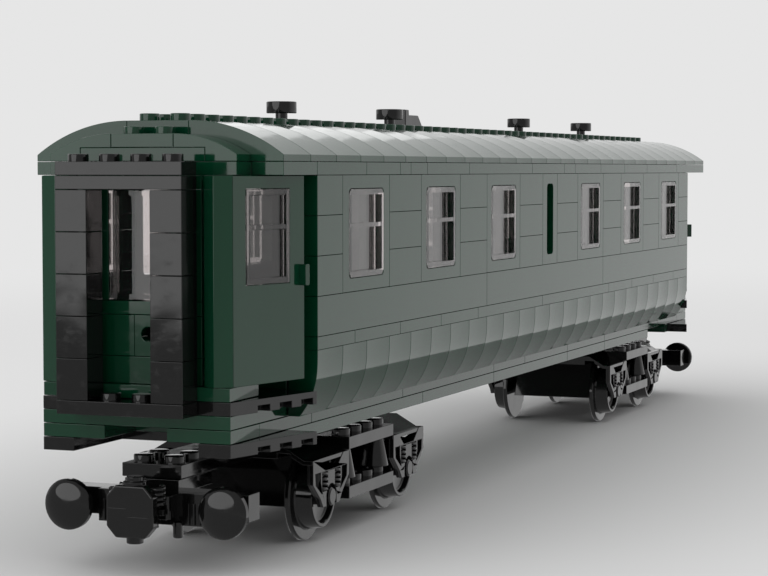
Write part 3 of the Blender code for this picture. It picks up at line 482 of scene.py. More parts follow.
class Graph:
    """Node tree of a material or the world."""

    def __init__(self, tree: bpy.types.NodeTree) -> None:
        """Keep the tree and clear it."""
        self.tree = tree
        tree.nodes.clear()

    def node(self, kind: str, settings: dict | None = None, inputs: dict | None = None) -> Socket:
        """Add a node of any type.

        Args:
            kind: Blender's type name of the node.
            settings: properties, set before the inputs.
            inputs: values or sockets by input name or number.

        Returns:
            The node's first enabled output, empty for a node without one.
        """
        node = self.tree.nodes.new(kind)
        for key, value in (settings or {}).items():
            if key == "stops":
                self.set_stops(node.color_ramp, value)
            else:
                setattr(node, key, value)
        for key, value in (inputs or {}).items():
            target = node.inputs[key]
            if isinstance(value, Socket):
                self.tree.links.new(value.output, target)
            else:
                target.default_value = value
        outputs = [out for out in node.outputs if out.enabled]
        return Socket(self, outputs[0]) if outputs else Socket(self, None)

    def named(self, source: Socket, name: str) -> Socket:
        """Another output of the node behind a value, by its name."""
        return Socket(self, source.output.node.outputs[name])

    @staticmethod
    def set_stops(ramp: bpy.types.ColorRamp, stops: tuple[Point, ...]) -> None:
        """Set a ramp's grey stops.

        Args:
            ramp: the ramp, which has two stops.
            stops: place and brightness of each stop.
        """
        for element, (place, value) in zip(ramp.elements, (stops[0], stops[-1])):
            element.position = place
            element.color = (value, value, value, 1.0)
        for place, value in stops[1:-1]:
            ramp.elements.new(place).color = (value, value, value, 1.0)

    def combine(self, operation: str, left: Operand, right: Operand) -> Socket:
        """Join two operands with a Math or Vector Math operation.

        Args:
            operation: name of the operation.
            left: first operand.
            right: second operand.

        Returns:
            The result.
        """
        vector = any(self.is_vector(value) for value in (left, right))
        node = self.tree.nodes.new("ShaderNodeVectorMath" if vector else "ShaderNodeMath")
        node.operation = operation
        for target, value in zip(node.inputs, (left, right)):
            if isinstance(value, Socket):
                self.tree.links.new(value.output, target)
            elif vector and not isinstance(value, tuple):
                target.default_value = (value,) * 3
            else:
                target.default_value = value
        return Socket(self, node.outputs[0])

    @staticmethod
    def is_vector(value: Operand) -> bool:
        """Whether an operand holds three numbers.

        Args:
            value: the operand.

        Returns:
            True for vectors and colours.
        """
        if isinstance(value, Socket):
            return value.output.type in ("VECTOR", "RGBA")
        return isinstance(value, tuple)

    def math(self, operation: str, *values: Operand) -> Socket:
        """A Math node of any operation."""
        return self.node("ShaderNodeMath", {"operation": operation}, dict(enumerate(values)))

    def mix(self, factor: Operand, first: Operand, second: Operand) -> Socket:
        """Two colours mixed.

        Args:
            factor: share of the second colour.
            first: colour at 0.
            second: colour at 1.

        Returns:
            The mixed colour.
        """
        settings = {"data_type": "RGBA"}
        node = self.node("ShaderNodeMix", settings, {0: factor, 6: first, 7: second})
        return Socket(self, node.output.node.outputs[2])

    def noise(self, pattern: Pattern) -> Socket:
        """Noise over the part.

        Args:
            pattern: its kind.

        Returns:
            Its height at a point, from 0 to 1.
        """
        place = self.node("ShaderNodeTexCoord")
        place = self.named(place, "Object") * tuple(s / MM for s in pattern.stretch)
        return self.node("ShaderNodeTexNoise", None, {
            "Vector": place, "Scale": pattern.scale, "Detail": pattern.detail,
            "Roughness": pattern.roughness})

    def ramp(self, stops: tuple[Point, ...], value: Socket) -> Socket:
        """A value turned into a grey by stops."""
        return self.node("ShaderNodeValToRGB", {"stops": stops}, {"Fac": value})

    def bump(self, height: Socket) -> Socket:
        """Normals of a face with a height in millimetres."""
        return self.node("ShaderNodeBump", None,
                         {"Strength": 1.0, "Distance": MM, "Height": height})

    def along(self) -> Socket:
        """Place along the coach.

        Returns:
            The place in millimetres, counted as the classes do.
        """
        place = self.named(self.node("ShaderNodeTexCoord"), "Object")
        split = self.node("ShaderNodeSeparateXYZ", None, {"Vector": place})
        return split * (1.0 / MM) + X_MIDDLE


@dataclass(frozen=True)
class Pattern:
    """Noise: features per millimetre, detail, and stretch along X, Y and Z."""

    scale: float
    detail: float
    stretch: Place = (1.0, 1.0, 1.0)
    roughness: float = 0.55


CLOUDS = Pattern(0.05, 3.0)
GRAIN = Pattern(1.7, 4.0)
SCUFFS = Pattern(0.35, 6.0, (0.25, 1.0, 1.6))
WAVES = Pattern(0.16, 0.0)
RIPPLES = Pattern(0.07, 2.0, (1.0, 1.0, 0.35))
SPECKS = Pattern(0.9, 5.0)

GREEN_DARK: Color = (0.0008, 0.028, 0.0115, 1.0)
GREEN_LIGHT: Color = (0.0022, 0.040, 0.0180, 1.0)
BLACK_DARK: Color = (0.002, 0.002, 0.002, 1.0)
BLACK_LIGHT: Color = (0.005, 0.005, 0.005, 1.0)
IOR = 1.5


@dataclass(frozen=True)
class Finish:
    """A built material and the record's slot that it belongs to."""

    material: bpy.types.Material
    slot: str


@dataclass(frozen=True)
class Plastic:
    """Glossy moulded plastic: mottled colour, slow waves, faint scuffs and crowned bricks."""

    name: str
    slot: str
    dark: Color
    light: Color
    roughness: float = 0.055
    scuffed: float = 0.10            # how much rougher the scuffs are
    scuff_stops: tuple[Point, ...] = ((0.52, 0.0), (0.74, 1.0))
    fine_share: float = 0.3          # share of the grain in the mottling
    grain_roughness: float = 0.02
    grain_height: float = 0.0004
    wave: float = 0.012              # height of the slow waves in a face, in millimetres
    crown_pitch: float = 0.0         # length of the bricks that are slightly crowned, 0 for none
    crown_start: float = 0.0
    crown_height: float = 0.0

    def build(self) -> Finish:
        """Make the material.

        Returns:
            The finish.
        """
        mat = bpy.data.materials.new(self.name)
        mat.use_nodes = True
        graph = Graph(mat.node_tree)
        cloud, grain, scuffs = (graph.noise(pattern) for pattern in (CLOUDS, GRAIN, SCUFFS))
        tone = cloud * (1.0 - self.fine_share) + grain * self.fine_share
        color = graph.mix(tone, self.dark, self.light)
        scuffed = graph.ramp(self.scuff_stops, scuffs)
        scuffed = graph.node("ShaderNodeSeparateColor", None, {"Color": scuffed})
        roughness = self.roughness + scuffed * self.scuffed + grain * self.grain_roughness
        height = graph.noise(WAVES) * self.wave + grain * self.grain_height
        if self.crown_pitch:
            turn = graph.math("FRACT", (graph.along() - self.crown_start) / self.crown_pitch) - 0.5
            height = height + turn * turn * self.crown_height
        shader = graph.node("ShaderNodeBsdfPrincipled", None, {
            "Base Color": color, "Roughness": roughness, "Normal": graph.bump(height), "IOR": IOR})
        graph.node("ShaderNodeOutputMaterial", None, {"Surface": shader})
        return Finish(mat, self.slot)


@dataclass(frozen=True)
class Glazing:
    """Clear moulded plastic with soft ripples and fine specks of dust."""

    name: str
    slot: str
    tint: Color
    dust: Color
    roughness: float = 0.01
    speck_roughness: float = 0.02
    ripple: float = 0.006            # height of the ripples, in millimetres

    def build(self) -> Finish:
        """Make the material.

        Returns:
            The finish.
        """
        mat = bpy.data.materials.new(self.name)
        mat.use_nodes = True
        graph = Graph(mat.node_tree)
        ripples, specks = graph.noise(RIPPLES), graph.noise(SPECKS)
        shader = graph.node("ShaderNodeBsdfPrincipled", None, {
            "Base Color": graph.mix(specks, self.tint, self.dust),
            "Roughness": self.roughness + specks * self.speck_roughness,
            "Normal": graph.bump(ripples * self.ripple),
            "IOR": IOR, "Transmission Weight": 1.0})
        graph.node("ShaderNodeOutputMaterial", None, {"Surface": shader})
        return Finish(mat, self.slot)


@dataclass
class Finishes:
    """Every finish of the coach, by use."""

    green: Finish = field(init=False)
    roof_green: Finish = field(init=False)
    skirt_green: Finish = field(init=False)
    black: Finish = field(init=False)
    clear: Finish = field(init=False)
    side_pane: Finish = field(init=False)
    door_pane: Finish = field(init=False)
    warmth: Place = (1.0, 0.95, 0.94)   # red, green and blue that a pane lets through
    dusty: float = 0.93              # share of it that comes through dust

    def __post_init__(self) -> None:
        """Build the finishes."""
        green = ("green_plastic", GREEN_DARK, GREEN_LIGHT)
        self.green = Plastic("green bricks", *green).build()
        self.roof_green = Plastic("green roof bricks", *green, roughness=0.07,
                                  crown_pitch=2 * STUD, crown_start=1.5 * STUD,
                                  crown_height=0.28).build()
        self.skirt_green = Plastic("green skirt bricks", *green, crown_pitch=2 * STUD,
                                   crown_height=0.45).build()
        self.black = Plastic("black bricks", "black_plastic", BLACK_DARK, BLACK_LIGHT,
                             wave=0.07).build()
        self.clear = self.pane("clear panes", 0.95)
        self.side_pane = self.pane("side panes", 0.66)
        self.door_pane = self.pane("door panes", 0.48)

    def pane(self, name: str, clearness: float) -> Finish:
        """Glazing finish.

        Args:
            name: name of the material.
            clearness: 1 for panes as clear as water.

        Returns:
            The finish.
        """
        tint = tuple(clearness * share for share in self.warmth)
        dust = tuple(value * self.dusty for value in tint)
        return Glazing(name, "clear_glazing", tint + (1.0,), dust + (1.0,)).build()


@dataclass(frozen=True)
class Opening:
    """Frame round a window or a slot in the wall."""

    jamb: float                      # width beside the hole
    deep: float
    inset: float = 0.0               # how much smaller the hole is on each side


@dataclass
class SideWall:
    """One side: curved skirt bricks, sill courses, and the wall with its window frames."""

    finishes: Finishes
    name: str
    side: float
    face: float = 4 * STUD
    deep: float = 7.7
    skirt_back: float = 3 * STUD + 0.3
    start: float = 4 * STUD
    end: float = 52 * STUD
    skirt: tuple[Point, ...] = ((0.0, 6.4), (0.05, 3.0), (0.3, 0.0), (0.9, -2.6), (1.8, -5.0),
                                (3.0, -7.2), (4.2, -8.9), (4.75, -9.6))
    sill_courses: tuple[tuple[tuple[float, ...], Span], ...] = (   # joints in studs, z in plates
        ((4, 7, 11, 15, 19, 27, 37, 41, 45, 49, 52), (2, 3)), ((4, 20, 36, 52), (3, 6)))
    wall_z: Span = (6 * PLATE, 15 * PLATE)
    brick: float = 3 * PLATE
    panels: tuple[Point, ...] = ((4, 2), (10, 3), (17, 3), (24, 3), (29, 3), (36, 3), (43, 3),
                                 (50, 2))   # first stud and studs
    windows: tuple[float, ...] = (6, 13, 20, 32, 39, 46)
    window_studs: float = 4
    window: Opening = Opening(4.0, 7.7, 0.12)
    slot: Point = (27, 2)
    slot_frame: Opening = Opening(4.6, 5.5)
    corner: float = 1.4

    def y(self, start: float, end: float) -> Span:
        """Y between two depths behind the face."""
        return ordered(self.side * (self.face - start), self.side * (self.face - end))

    def build(self) -> None:
        """Make the wall's pieces."""
        self.build_skirt()
        self.build_sill()
        self.build_wall()

    def build_skirt(self) -> None:
        """Curved bricks, two studs long."""
        form = Form()
        outline = [(self.side * (self.face - a), z) for a, z in smooth_line(list(self.skirt))]
        for z in (self.skirt[-1][1], self.skirt[0][1]):
            outline.append((self.side * self.skirt_back, z))
        for i in range(round((self.end - self.start) / (2 * STUD))):
            x = self.start + 2 * STUD * i + SEAM
            form.slab([outline], Facing.CROSS.frame(x), 2 * STUD - 2 * SEAM)
        form.piece(f"skirt_bricks_{self.name}", "body", self.finishes.skirt_green,
                   (f"tumblehome_{self.name}",), FINE_EDGE)

    def build_sill(self) -> None:
        """A course of plates and a course of long bricks."""
        form = Form()
        for joints, heights in self.sill_courses:
            for x in seamed(joints, STUD):
                form.block(x, self.y(0.0, self.deep), *seamed(heights, PLATE))
        form.piece(f"sill_bricks_{self.name}", "body", self.finishes.green,
                   (f"sill_{self.name}",), FINE_EDGE)

    def build_wall(self) -> None:
        """Stacked bricks between the window frames."""
        form = Form()
        low, high = self.wall_z
        rows = [low + i * self.brick for i in range(round((high - low) / self.brick) + 1)]
        for first, count in self.panels:
            for z in seamed(rows):
                form.block(*seamed((first, first + count), STUD), self.y(0.0, self.deep), z)
        for first in self.windows:
            self.add_frame(form, first, self.window_studs, self.window)
        first, count = self.slot
        self.add_frame(form, first, count, self.slot_frame)
        form.block(*seamed((first, first + count), STUD), self.y(self.slot_frame.deep, self.deep),
                   *seamed(self.wall_z))
        form.piece(f"wall_bricks_{self.name}", "body", self.finishes.green,
                   (f"window_wall_{self.name}",), FINE_EDGE)

    def add_frame(self, form: Form, first: float, count: float, frame: Opening) -> None:
        """Add a frame with a round-cornered opening.

        Args:
            form: where it goes.
            first: stud that it starts at.
            count: its length in studs.
            frame: its jambs and depth.
        """
        (x0, x1), = seamed((first, first + count), STUD)
        (z0, z1), = seamed(self.wall_z)
        beside = frame.jamb + frame.inset - SEAM
        below = PLATE + frame.inset - SEAM
        hole = rounded((x0 + beside, x1 - beside), (z0 + below, z1 - below), self.corner)
        start = self.y(0.0, frame.deep)[1]
        form.slab([rectangle((x0, x1), (z0, z1)), hole], Facing.SIDE.frame(start), frame.deep)


@dataclass
class Roof:
    """Eave plates, curved roof bricks, the ridge with its studs, end steps and fittings."""

    finishes: Finishes
    start: float = 1.5 * STUD
    end: float = 55.5 * STUD
    half: float = 4 * STUD
    step_half: float = 3 * STUD
    crown: float = STUD              # half the width of the flat ridge
    low: float = 16 * PLATE
    top: float = 19 * PLATE
    lip: float = 1.6                 # height of the bricks' outer edge
    eave_joints: tuple[float, ...] = (1.5, 4, 8, 11, 12, 13.6, 18, 25.6, 30, 31.6, 35.6, 39.6,
                                      43.7, 49.6, 55.5)
    eave_inner: Span = (5 * STUD, 51 * STUD)   # the plates across the ends stop here
    overhang: Span = (STUD, STUD / 2)          # of the lower steps at the near and far end
    vents: tuple[float, ...] = (10.5, 20.5, 36.5, 46.5)
    vent_cap: Place = (4.0, 64.1, 67.2)        # radius, underside and top
    vent_edge: float = 0.25
    vent_stem: Point = (1.6, 61.1)             # radius and foot
    fitting: tuple[Point, ...] = ((0.0, 0.3), (0.0, 6.8), (3.0, 6.8), (3.2, 5.2), (11.3, 5.2),
                                  (15.3, 1.6), (24.0, 1.3), (24.0, 0.3))
    fitting_x: Span = (22.5 * STUD, 25.5 * STUD)
    fitting_y: Span = (0.8, 7.2)

    def arch(self, half: float, top: float, steps: int = 24) -> Outline:
        """One curved half of the roof, from the crown's edge down to the lip.

        Args:
            half: half the width.
            top: height of the crown.
            steps: straight steps in the curve.

        Returns:
            The points.
        """
        run = half - self.crown
        drop = top - self.low - self.lip
        radius = (run * run + drop * drop) / (2 * drop)
        return [(self.crown + run * i / steps,
                 top - radius + math.sqrt(radius ** 2 - (run * i / steps) ** 2))
                for i in range(steps + 1)]

    def build(self) -> None:
        """Make the roof's pieces."""
        self.build_eaves()
        self.build_slopes()
        self.build_ridge()
        self.build_end_steps()
        self.build_fittings()

    def build_eaves(self) -> None:
        """Rows of plates under the roof's lip, and the plates across the ends."""
        form = Form()
        z = (self.low - PLATE + SEAM, self.low - SEAM)
        for side in (-1, 1):
            y = ordered(side * (self.half - STUD + SEAM), side * self.half)
            for x in seamed(self.eave_joints, STUD):
                form.block(x, y, z)
        inner = self.half - STUD - SEAM
        near, far = self.overhang
        for x in ((self.start, self.eave_inner[0]), (self.eave_inner[1], self.end),
                  (self.start - near, self.start - SEAM), (self.end + SEAM, self.end + far)):
            form.block(x, (-inner, inner), z)
        form.piece("eave_plates", "body", self.finishes.green, ("eave_plate",), FINE_EDGE)

    def bricks(self) -> list[float]:
        """Starts of the roof's bricks, two studs long."""
        count = round((self.end - self.start) / (2 * STUD))
        return [self.start + 2 * STUD * i for i in range(count)]

    def build_slopes(self) -> None:
        """Curved bricks on both sides."""
        inner = self.crown + SEAM
        half = [(max(y, inner), z) for y, z in self.arch(self.half, self.top)]
        half += [(y, self.low + SEAM) for y in (self.half, inner)]
        for side in Side:
            form = Form()
            outline = [(side.value * y, z) for y, z in half]
            for x in self.bricks():
                form.slab([outline], Facing.CROSS.frame(x + SEAM), 2 * STUD - 2 * SEAM)
            form.piece(f"roof_bricks_{side.label}", "body", self.finishes.roof_green,
                       (f"roof_slope_{side.label}",), FINE_EDGE)

    def build_ridge(self) -> None:
        """Flat ridge with two rows of studs, which leave room for the fitting."""
        form = Form()
        places: list[Point] = []
        for x in self.bricks():
            form.block(*seamed((x, x + 2 * STUD)), (-self.crown, self.crown),
                       (self.low + SEAM, self.top))
            for along in (x + STUD / 2, x + 1.5 * STUD):
                places.append((along, -STUD / 2))
                if not self.fitting_x[0] < along < self.fitting_x[1]:
                    places.append((along, STUD / 2))
        form.studs(places, self.top)
        form.piece("ridge_bricks", "body", self.finishes.green, ("roof_ridge",), FINE_EDGE)

    def build_end_steps(self) -> None:
        """Lower and narrower steps of the roof at its ends."""
        top, mid, low = self.low + 2 * PLATE, self.low + PLATE, self.low + SEAM
        near, far = self.overhang
        spans = {"near": (self.start - near + SEAM, self.start - SEAM),
                 "far": (self.end + SEAM, self.end + far)}
        inner, middle = self.crown + SEAM, 2 * STUD + SEAM
        for name, (x0, x1) in spans.items():
            form = Form()
            for side in (-1, 1):
                outline = [(side * max(y, inner), z)
                           for y, z in self.arch(self.step_half, top, 16)]
                outline += [(side * y, z) for y, z in ((self.step_half, low), (middle, low),
                                                       (middle, mid), (inner, mid))]
                form.slab([outline], Facing.CROSS.frame(x0), x1 - x0)
            form.block((x0, x1), *seamed((-self.crown, self.crown)), (mid + SEAM, top))
            form.block((x0, x1), *seamed((-2 * STUD, 2 * STUD)), (low, mid - SEAM))
            if name == "near":
                form.studs([((x0 + x1) / 2, -STUD / 2), ((x0 + x1) / 2, STUD / 2)], top)
            form.piece(f"roof_step_{name}", "body", self.finishes.green,
                       (f"roof_end_{name}",), FINE_EDGE)

    def build_fittings(self) -> None:
        """Round ventilators and the fitting beside the ridge."""
        radius, under, top = self.vent_cap
        stem, foot = self.vent_stem
        edge = self.vent_edge
        rim = arc((radius - edge, top - edge), edge, 90, 0, 3)
        rim += arc((radius - edge, under + edge), edge, 0, -90, 3)
        for i, at in enumerate(self.vents):
            form = Form()
            form.turned([(0.0, top)] + rim + [(stem, under), (stem, foot), (0.0, foot)],
                        (at * STUD, 0, 0), sides=40)
            form.piece(f"vent_{i + 1}", "body", self.finishes.black, (f"roof_vent_{i + 1}",), 0.0)
        form = Form()
        outline = [(self.fitting_x[0] + a, self.top + h) for a, h in self.fitting]
        inner, outer = self.fitting_y
        form.slab([outline], Facing.SIDE.frame(outer), outer - inner)
        form.piece("ridge_fitting", "body", self.finishes.black, ("roof_fitting",), 0.3)


@dataclass
class EndBay:
    """One end: end panel, corner posts, gangway frame and two slanted doors."""

    finishes: Finishes
    name: str
    origin: float
    direction: float
    top: float = 15 * PLATE
    leaf: Span = (1.2, 27.8)
    leaf_thick: float = 1.3
    leaf_gap: float = 0.1            # under and over the leaf
    handle_u: Span = (1.8, 0.2)      # both from the leaf's free edge
    handle_z: Span = (22.2, 27.2)
    handle_proud: float = 1.75
    frame_v: Span = (1.6, 4.2)       # depths of the door frame
    frame_rim: Place = (1.7, 2.2, 2.4)   # width of the door frame below, above and beside
    post_width: float = 3.2          # of the corner post, from the leaf's hinged edge
    post: tuple[Point, ...] = ((0.6, 2 * STUD + 1.3), (-0.6, 20.2), (0.8, 24.45), (0.8, 22.9))
    post_deep: float = 7.0
    pane: tuple[Span, Span] = ((5.8, 22.2), (23.0, 45.0))
    pane_bar: Span = (35.6, 36.7)
    pane_gap: float = 0.1
    pane_rim: float = 1.5
    pane_v: Span = (-0.15, 1.25)
    pane_face: float = 0.85          # depth of the recessed lights
    panel_x: Span = (2.4, 5.4)
    panel_half: float = 15.9
    split: float = 1.3
    hole: Place = (-2.1, 11.55, 1.7)     # Y, Z and radius
    gangway_x: Span = (-STUD, -0.3)
    gangway_joints: tuple[float, ...] = (-1, 2, 5, 8, 11, 14)   # in plates

    def x(self, inward: float) -> float:
        """Place along the coach from inward of the end."""
        return self.origin + self.direction * inward

    def xs(self, a: float, b: float) -> Span:
        """Ordered span along the coach."""
        return ordered(self.x(a), self.x(b))

    def back(self, side: float) -> Vector:
        """Direction into the coach, square to a door."""
        return Vector((self.direction * math.sin(SLANT), -side * math.cos(SLANT), 0))

    def slant_frame(self, side: float, v: float) -> Matrix:
        """Plane of a door.

        Args:
            side: -1 for the right door, 1 for the left one.
            v: depth behind the door's face.

        Returns:
            The frame, with u along the door as its X and Z as its Y.
        """
        along = Vector((self.direction * math.cos(SLANT), side * math.sin(SLANT), 0))
        corner = Vector((self.origin, side * 3 * STUD, 0)) + self.back(side) * v
        up = Vector((0, 0, 1))
        frame = Matrix((along, up, along.cross(up))).transposed().to_4x4()
        return Matrix.Translation(corner) @ frame

    def slant_slab(self, form: Form, side: float, outlines: list[Outline],
                   v0: float, v1: float) -> None:
        """Add a slab in the plane of a door.

        Args:
            form: where it goes.
            side: -1 for the right door, 1 for the left one.
            outlines: the outer line and the holes, in u and Z.
            v0: depth of its face behind the door's face.
            v1: depth of its back.
        """
        frame = self.slant_frame(side, v0)
        normal = frame.to_3x3() @ Vector((0, 0, 1))
        towards = 1.0 if normal.dot(self.back(side)) > 0 else -1.0
        form.slab(outlines, frame, towards * (v1 - v0))

    def plan_point(self, side: float, u: float, v: float) -> Point:
        """Point in plan, u along a door from its corner and v behind its face."""
        point = self.slant_frame(side, v) @ Vector((u, 0, 0))
        return (point.x, point.y)

    def build(self) -> None:
        """Make the end's pieces."""
        self.build_wall()
        self.build_gangway()
        for side in Side:
            self.build_door(side)

    def build_wall(self) -> None:
        """End panel of bricks, the corner posts and the door frames."""
        form = Form()
        self.add_panel(form)
        for side in (-1.0, 1.0):
            self.add_post(form, side)
        form.piece(f"end_bricks_{self.name}", "body", self.finishes.green,
                   (f"end_wall_{self.name}",))

    def add_panel(self, form: Form) -> None:
        """Add the panel: bricks round the window, and courses below it, one with a hole.

        Args:
            form: where it goes.
        """
        x0, x1 = self.xs(*self.panel_x)
        frame = Facing.CROSS.frame(x0)
        deep, edge, way = x1 - x0, self.panel_half, self.direction
        low, head = 6 * PLATE + SEAM, 14 * PLATE
        form.slab([[(-edge, low), (-STUD, low), (-STUD, head), (STUD, head), (STUD, low),
                    (edge, low), (edge, self.top), (-edge, self.top)]], frame, deep)
        for joints in ((5, 6), (0, 2)):
            form.block((x0, x1), (-edge, edge), *seamed(joints, PLATE))
        brick, = seamed((2, 5), PLATE)
        y, z, r = self.hole
        form.slab([rectangle(ordered(-way * edge, way * (self.split - SEAM)), brick),
                   arc((way * y, z), r, 0, 345, 23)], frame, deep)
        form.slab([rectangle(ordered(way * (self.split + SEAM), way * edge), brick)], frame, deep)

    def add_post(self, form: Form, side: float) -> None:
        """Add a corner post and its door frame.

        Args:
            form: where they go.
            side: -1 for the right door, 1 for the left one.
        """
        v0, v1 = self.frame_v
        u0, u1 = self.leaf
        post, (below, above, beside) = u0 + self.post_width, self.frame_rim
        plan = [(self.x(a), side * y) for a, y in self.post]
        plan += [self.plan_point(side, u0, v0), self.plan_point(side, post, v0),
                 (self.plan_point(side, post, self.post_deep)[0], plan[0][1])]
        form.slab([plan], Facing.PLAN.frame(SEAM), self.top - SEAM)
        start, high = post + SEAM, self.top - above
        line = [(start, SEAM), (u1, SEAM), (u1, self.top), (start, self.top), (start, high),
                (u1 - beside, high), (u1 - beside, below), (start, below)]
        self.slant_slab(form, side, [line], v0, v1)

    def build_gangway(self) -> None:
        """Black gangway frame of stacked bricks."""
        form = Form()
        x = self.xs(*self.gangway_x)
        for side in (-1, 1):
            for z in seamed(self.gangway_joints, PLATE):
                form.block(x, ordered(side * STUD, side * 2 * STUD), z)
        for z in seamed((14, 15, 16), PLATE):
            form.block(x, (-2 * STUD, 2 * STUD), z)
        form.block(x, (-2 * STUD, 2 * STUD), (-2 * PLATE, -PLATE - SEAM))
        middle = (x[0] + x[1]) / 2
        form.studs([(middle, y * STUD) for y in (-1.5, -0.5, 0.5, 1.5)], 16 * PLATE)
        form.studs([(middle, y * STUD) for y in (-0.5, 0.5)], -PLATE)
        form.piece(f"gangway_bricks_{self.name}", "body", self.finishes.black,
                   (f"gangway_{self.name}",))

    def build_door(self, side: Side) -> None:
        """Door leaf with its handle, and its glazing unit.

        Args:
            side: the door's side.
        """
        form, sign = Form(), side.value
        u0, u1 = self.leaf
        thick = self.leaf_thick
        outer = rectangle((u0, u1), (self.leaf_gap, self.top - self.leaf_gap))
        self.slant_slab(form, sign, [outer, rectangle(*self.pane)], 0.0, thick)
        start, end = self.handle_u
        handle = rounded((u1 - start, u1 - end), self.handle_z, 0.4)
        self.slant_slab(form, sign, [handle], -self.handle_proud, thick / 2)
        name = f"{self.name}_{side.label}"
        form.piece(f"door_leaf_{name}", f"door_{name}", self.finishes.green, (f"door_{name}",))
        self.build_pane(name, sign)

    def build_pane(self, name: str, side: float) -> None:
        """Glazing unit of a door: a rim, two recessed lights and the bar between them.

        Args:
            name: end and side of the door, as in the names of pieces.
            side: -1 for the right door, 1 for the left one.
        """
        form, pockets = Form(), Form()
        (u0, u1), (z0, z1) = self.pane
        gap, rim = self.pane_gap, self.pane_rim
        unit = rectangle((u0 + gap, u1 - gap), (z0 + gap, z1 - gap))
        self.slant_slab(form, side, [unit], *self.pane_v)
        for low, high in ((z0 + rim, self.pane_bar[0]), (self.pane_bar[1], z1 - rim)):
            light = rectangle((u0 + rim, u1 - rim), (low, high))
            self.slant_slab(pockets, side, [light], -1.0, self.pane_face)
        form.cut(pockets)
        form.piece(f"door_glass_{name}", f"door_{name}", self.finishes.door_pane,
                   (f"door_pane_{name}",), FINE_EDGE)


@dataclass
class Underbody:
    """Floor plates, underframe courses and the slanted steps."""

    finishes: Finishes
    ends: tuple[EndBay, ...]
    half: float = 3 * STUD
    narrow: float = 2 * STUD
    floor_inset: float = 0.15
    upper_joints: tuple[float, ...] = (0, 5.9, 13.9, 23.9, 27.9, 34, 40, 50, 56)   # in studs
    lower_joints: tuple[float, ...] = (4, 15.9, 23.9, 34, 40, 48)
    far_block: Span = (51.5 * STUD, 52 * STUD)
    pivot: tuple[Point, ...] = ((0.0, -15.0), (6.0, -15.0), (6.0, -18.9), (2.4, -18.9),
                                (2.4, -22.4), (0.0, -22.4))
    notches: tuple[float, ...] = (1.5, 2.5, 3.5)   # of the steps, in studs from the end
    notch_wide: float = 4.4
    notch_deep: float = 2.0
    step_back: float = 4 * STUD - 0.3
    step_open: float = 3 * STUD      # how far in the lower steps are open

    def build(self) -> None:
        """Make the pieces under the body."""
        self.build_floor()
        self.build_courses()
        for end in self.ends:
            for step in Step:
                self.build_step(end, step)

    def build_floor(self) -> None:
        """Plate under the doors, narrow behind them."""
        form = Form()
        wide, narrow, far = self.half - self.floor_inset, self.narrow, LENGTH
        edge = ((0.0, wide), (2 * STUD, wide), (2 * STUD, narrow), (4 * STUD, narrow),
                (4 * STUD, wide))
        right = [(x, -y) for x, y in edge] + [(far - x, -y) for x, y in reversed(edge)]
        outline = right + [(a, -b) for a, b in reversed(right)]
        form.slab([outline], Facing.PLAN.frame(-PLATE + SEAM), PLATE - SEAM)
        form.piece("floor_plates", "body", self.finishes.green, ("floor_plate",))

    def build_courses(self) -> None:
        """Plates of the underframe, jointed as long plates are, and the bogie pivots."""
        form = Form()
        y = (-self.half, self.half)
        form.block((0.0, LENGTH), y, (-3 * PLATE + SEAM, -2 * PLATE))
        form.block((4 * STUD, LENGTH - 4 * STUD), y, (-2 * PLATE, -PLATE))
        z, = seamed((-4, -3), PLATE)
        for x0, x1 in seamed(self.upper_joints, STUD):
            for box in self.notched(x0, x1):
                form.block(*box, z)
        for x in seamed(self.lower_joints, STUD):
            form.block(x, y, (-5 * PLATE, -4 * PLATE - SEAM))
        for side in (-1, 1):
            form.block(self.far_block, ordered(side * self.narrow, side * self.half),
                       (-5 * PLATE, -4 * PLATE))
        for pivot in PIVOTS:
            form.turned(list(self.pivot), (pivot, 0, 0))
        form.piece("underframe_plates", "body", self.finishes.green, ("underframe",))

    def notched(self, x0: float, x1: float) -> list[tuple[Span, Span]]:
        """Boxes in plan of a plate, with the notch over each drawbar left open.

        Args:
            x0: start of the plate.
            x1: its end.

        Returns:
            Spans along and across the coach.
        """
        near, far = 2 * STUD, LENGTH - 2 * STUD
        cuts = [x0] + [x for x in (near, far) if x0 < x < x1] + [x1]
        out = []
        for x in zip(cuts, cuts[1:]):
            if near <= (x[0] + x[1]) / 2 <= far:
                out.append((x, (-self.half, self.half)))
            else:
                out += [(x, (-self.half, -STUD)), (x, (STUD, self.half))]
        return out

    def build_step(self, end: EndBay, step: Step) -> None:
        """Wedge plate with square notches in the lower half of its slanted edges.

        Args:
            end: the end that it belongs to.
            step: upper or lower one.
        """
        form, cuts = Form(), Form()
        z, opened = step.value
        slope = math.tan(SLANT)
        right = [(0.0, -self.half), (self.step_back, -self.half - self.step_back * slope)]
        outline = right + [(a, -b) for a, b in reversed(right)]
        if opened:
            narrow, deep = self.narrow, self.step_open
            outline += [(0.0, narrow), (deep, narrow), (deep, -narrow), (0.0, -narrow)]
        form.slab([[(end.x(a), b) for a, b in outline]], Facing.PLAN.frame(z), PLATE - 2 * SEAM)
        for at in self.notches:
            inside = self.half + at * STUD * slope - self.notch_deep
            x = end.xs(at * STUD - self.notch_wide / 2, at * STUD + self.notch_wide / 2)
            for side in (-1, 1):
                cuts.block(x, ordered(side * inside, side * 5 * STUD), (z - 1.0, z + PLATE / 2))
        form.cut(cuts)
        name = step.name.lower()
        form.piece(f"{name}_step_plate_{end.name}", "body", self.finishes.black,
                   (f"{name}_step_{end.name}",), FINE_EDGE)


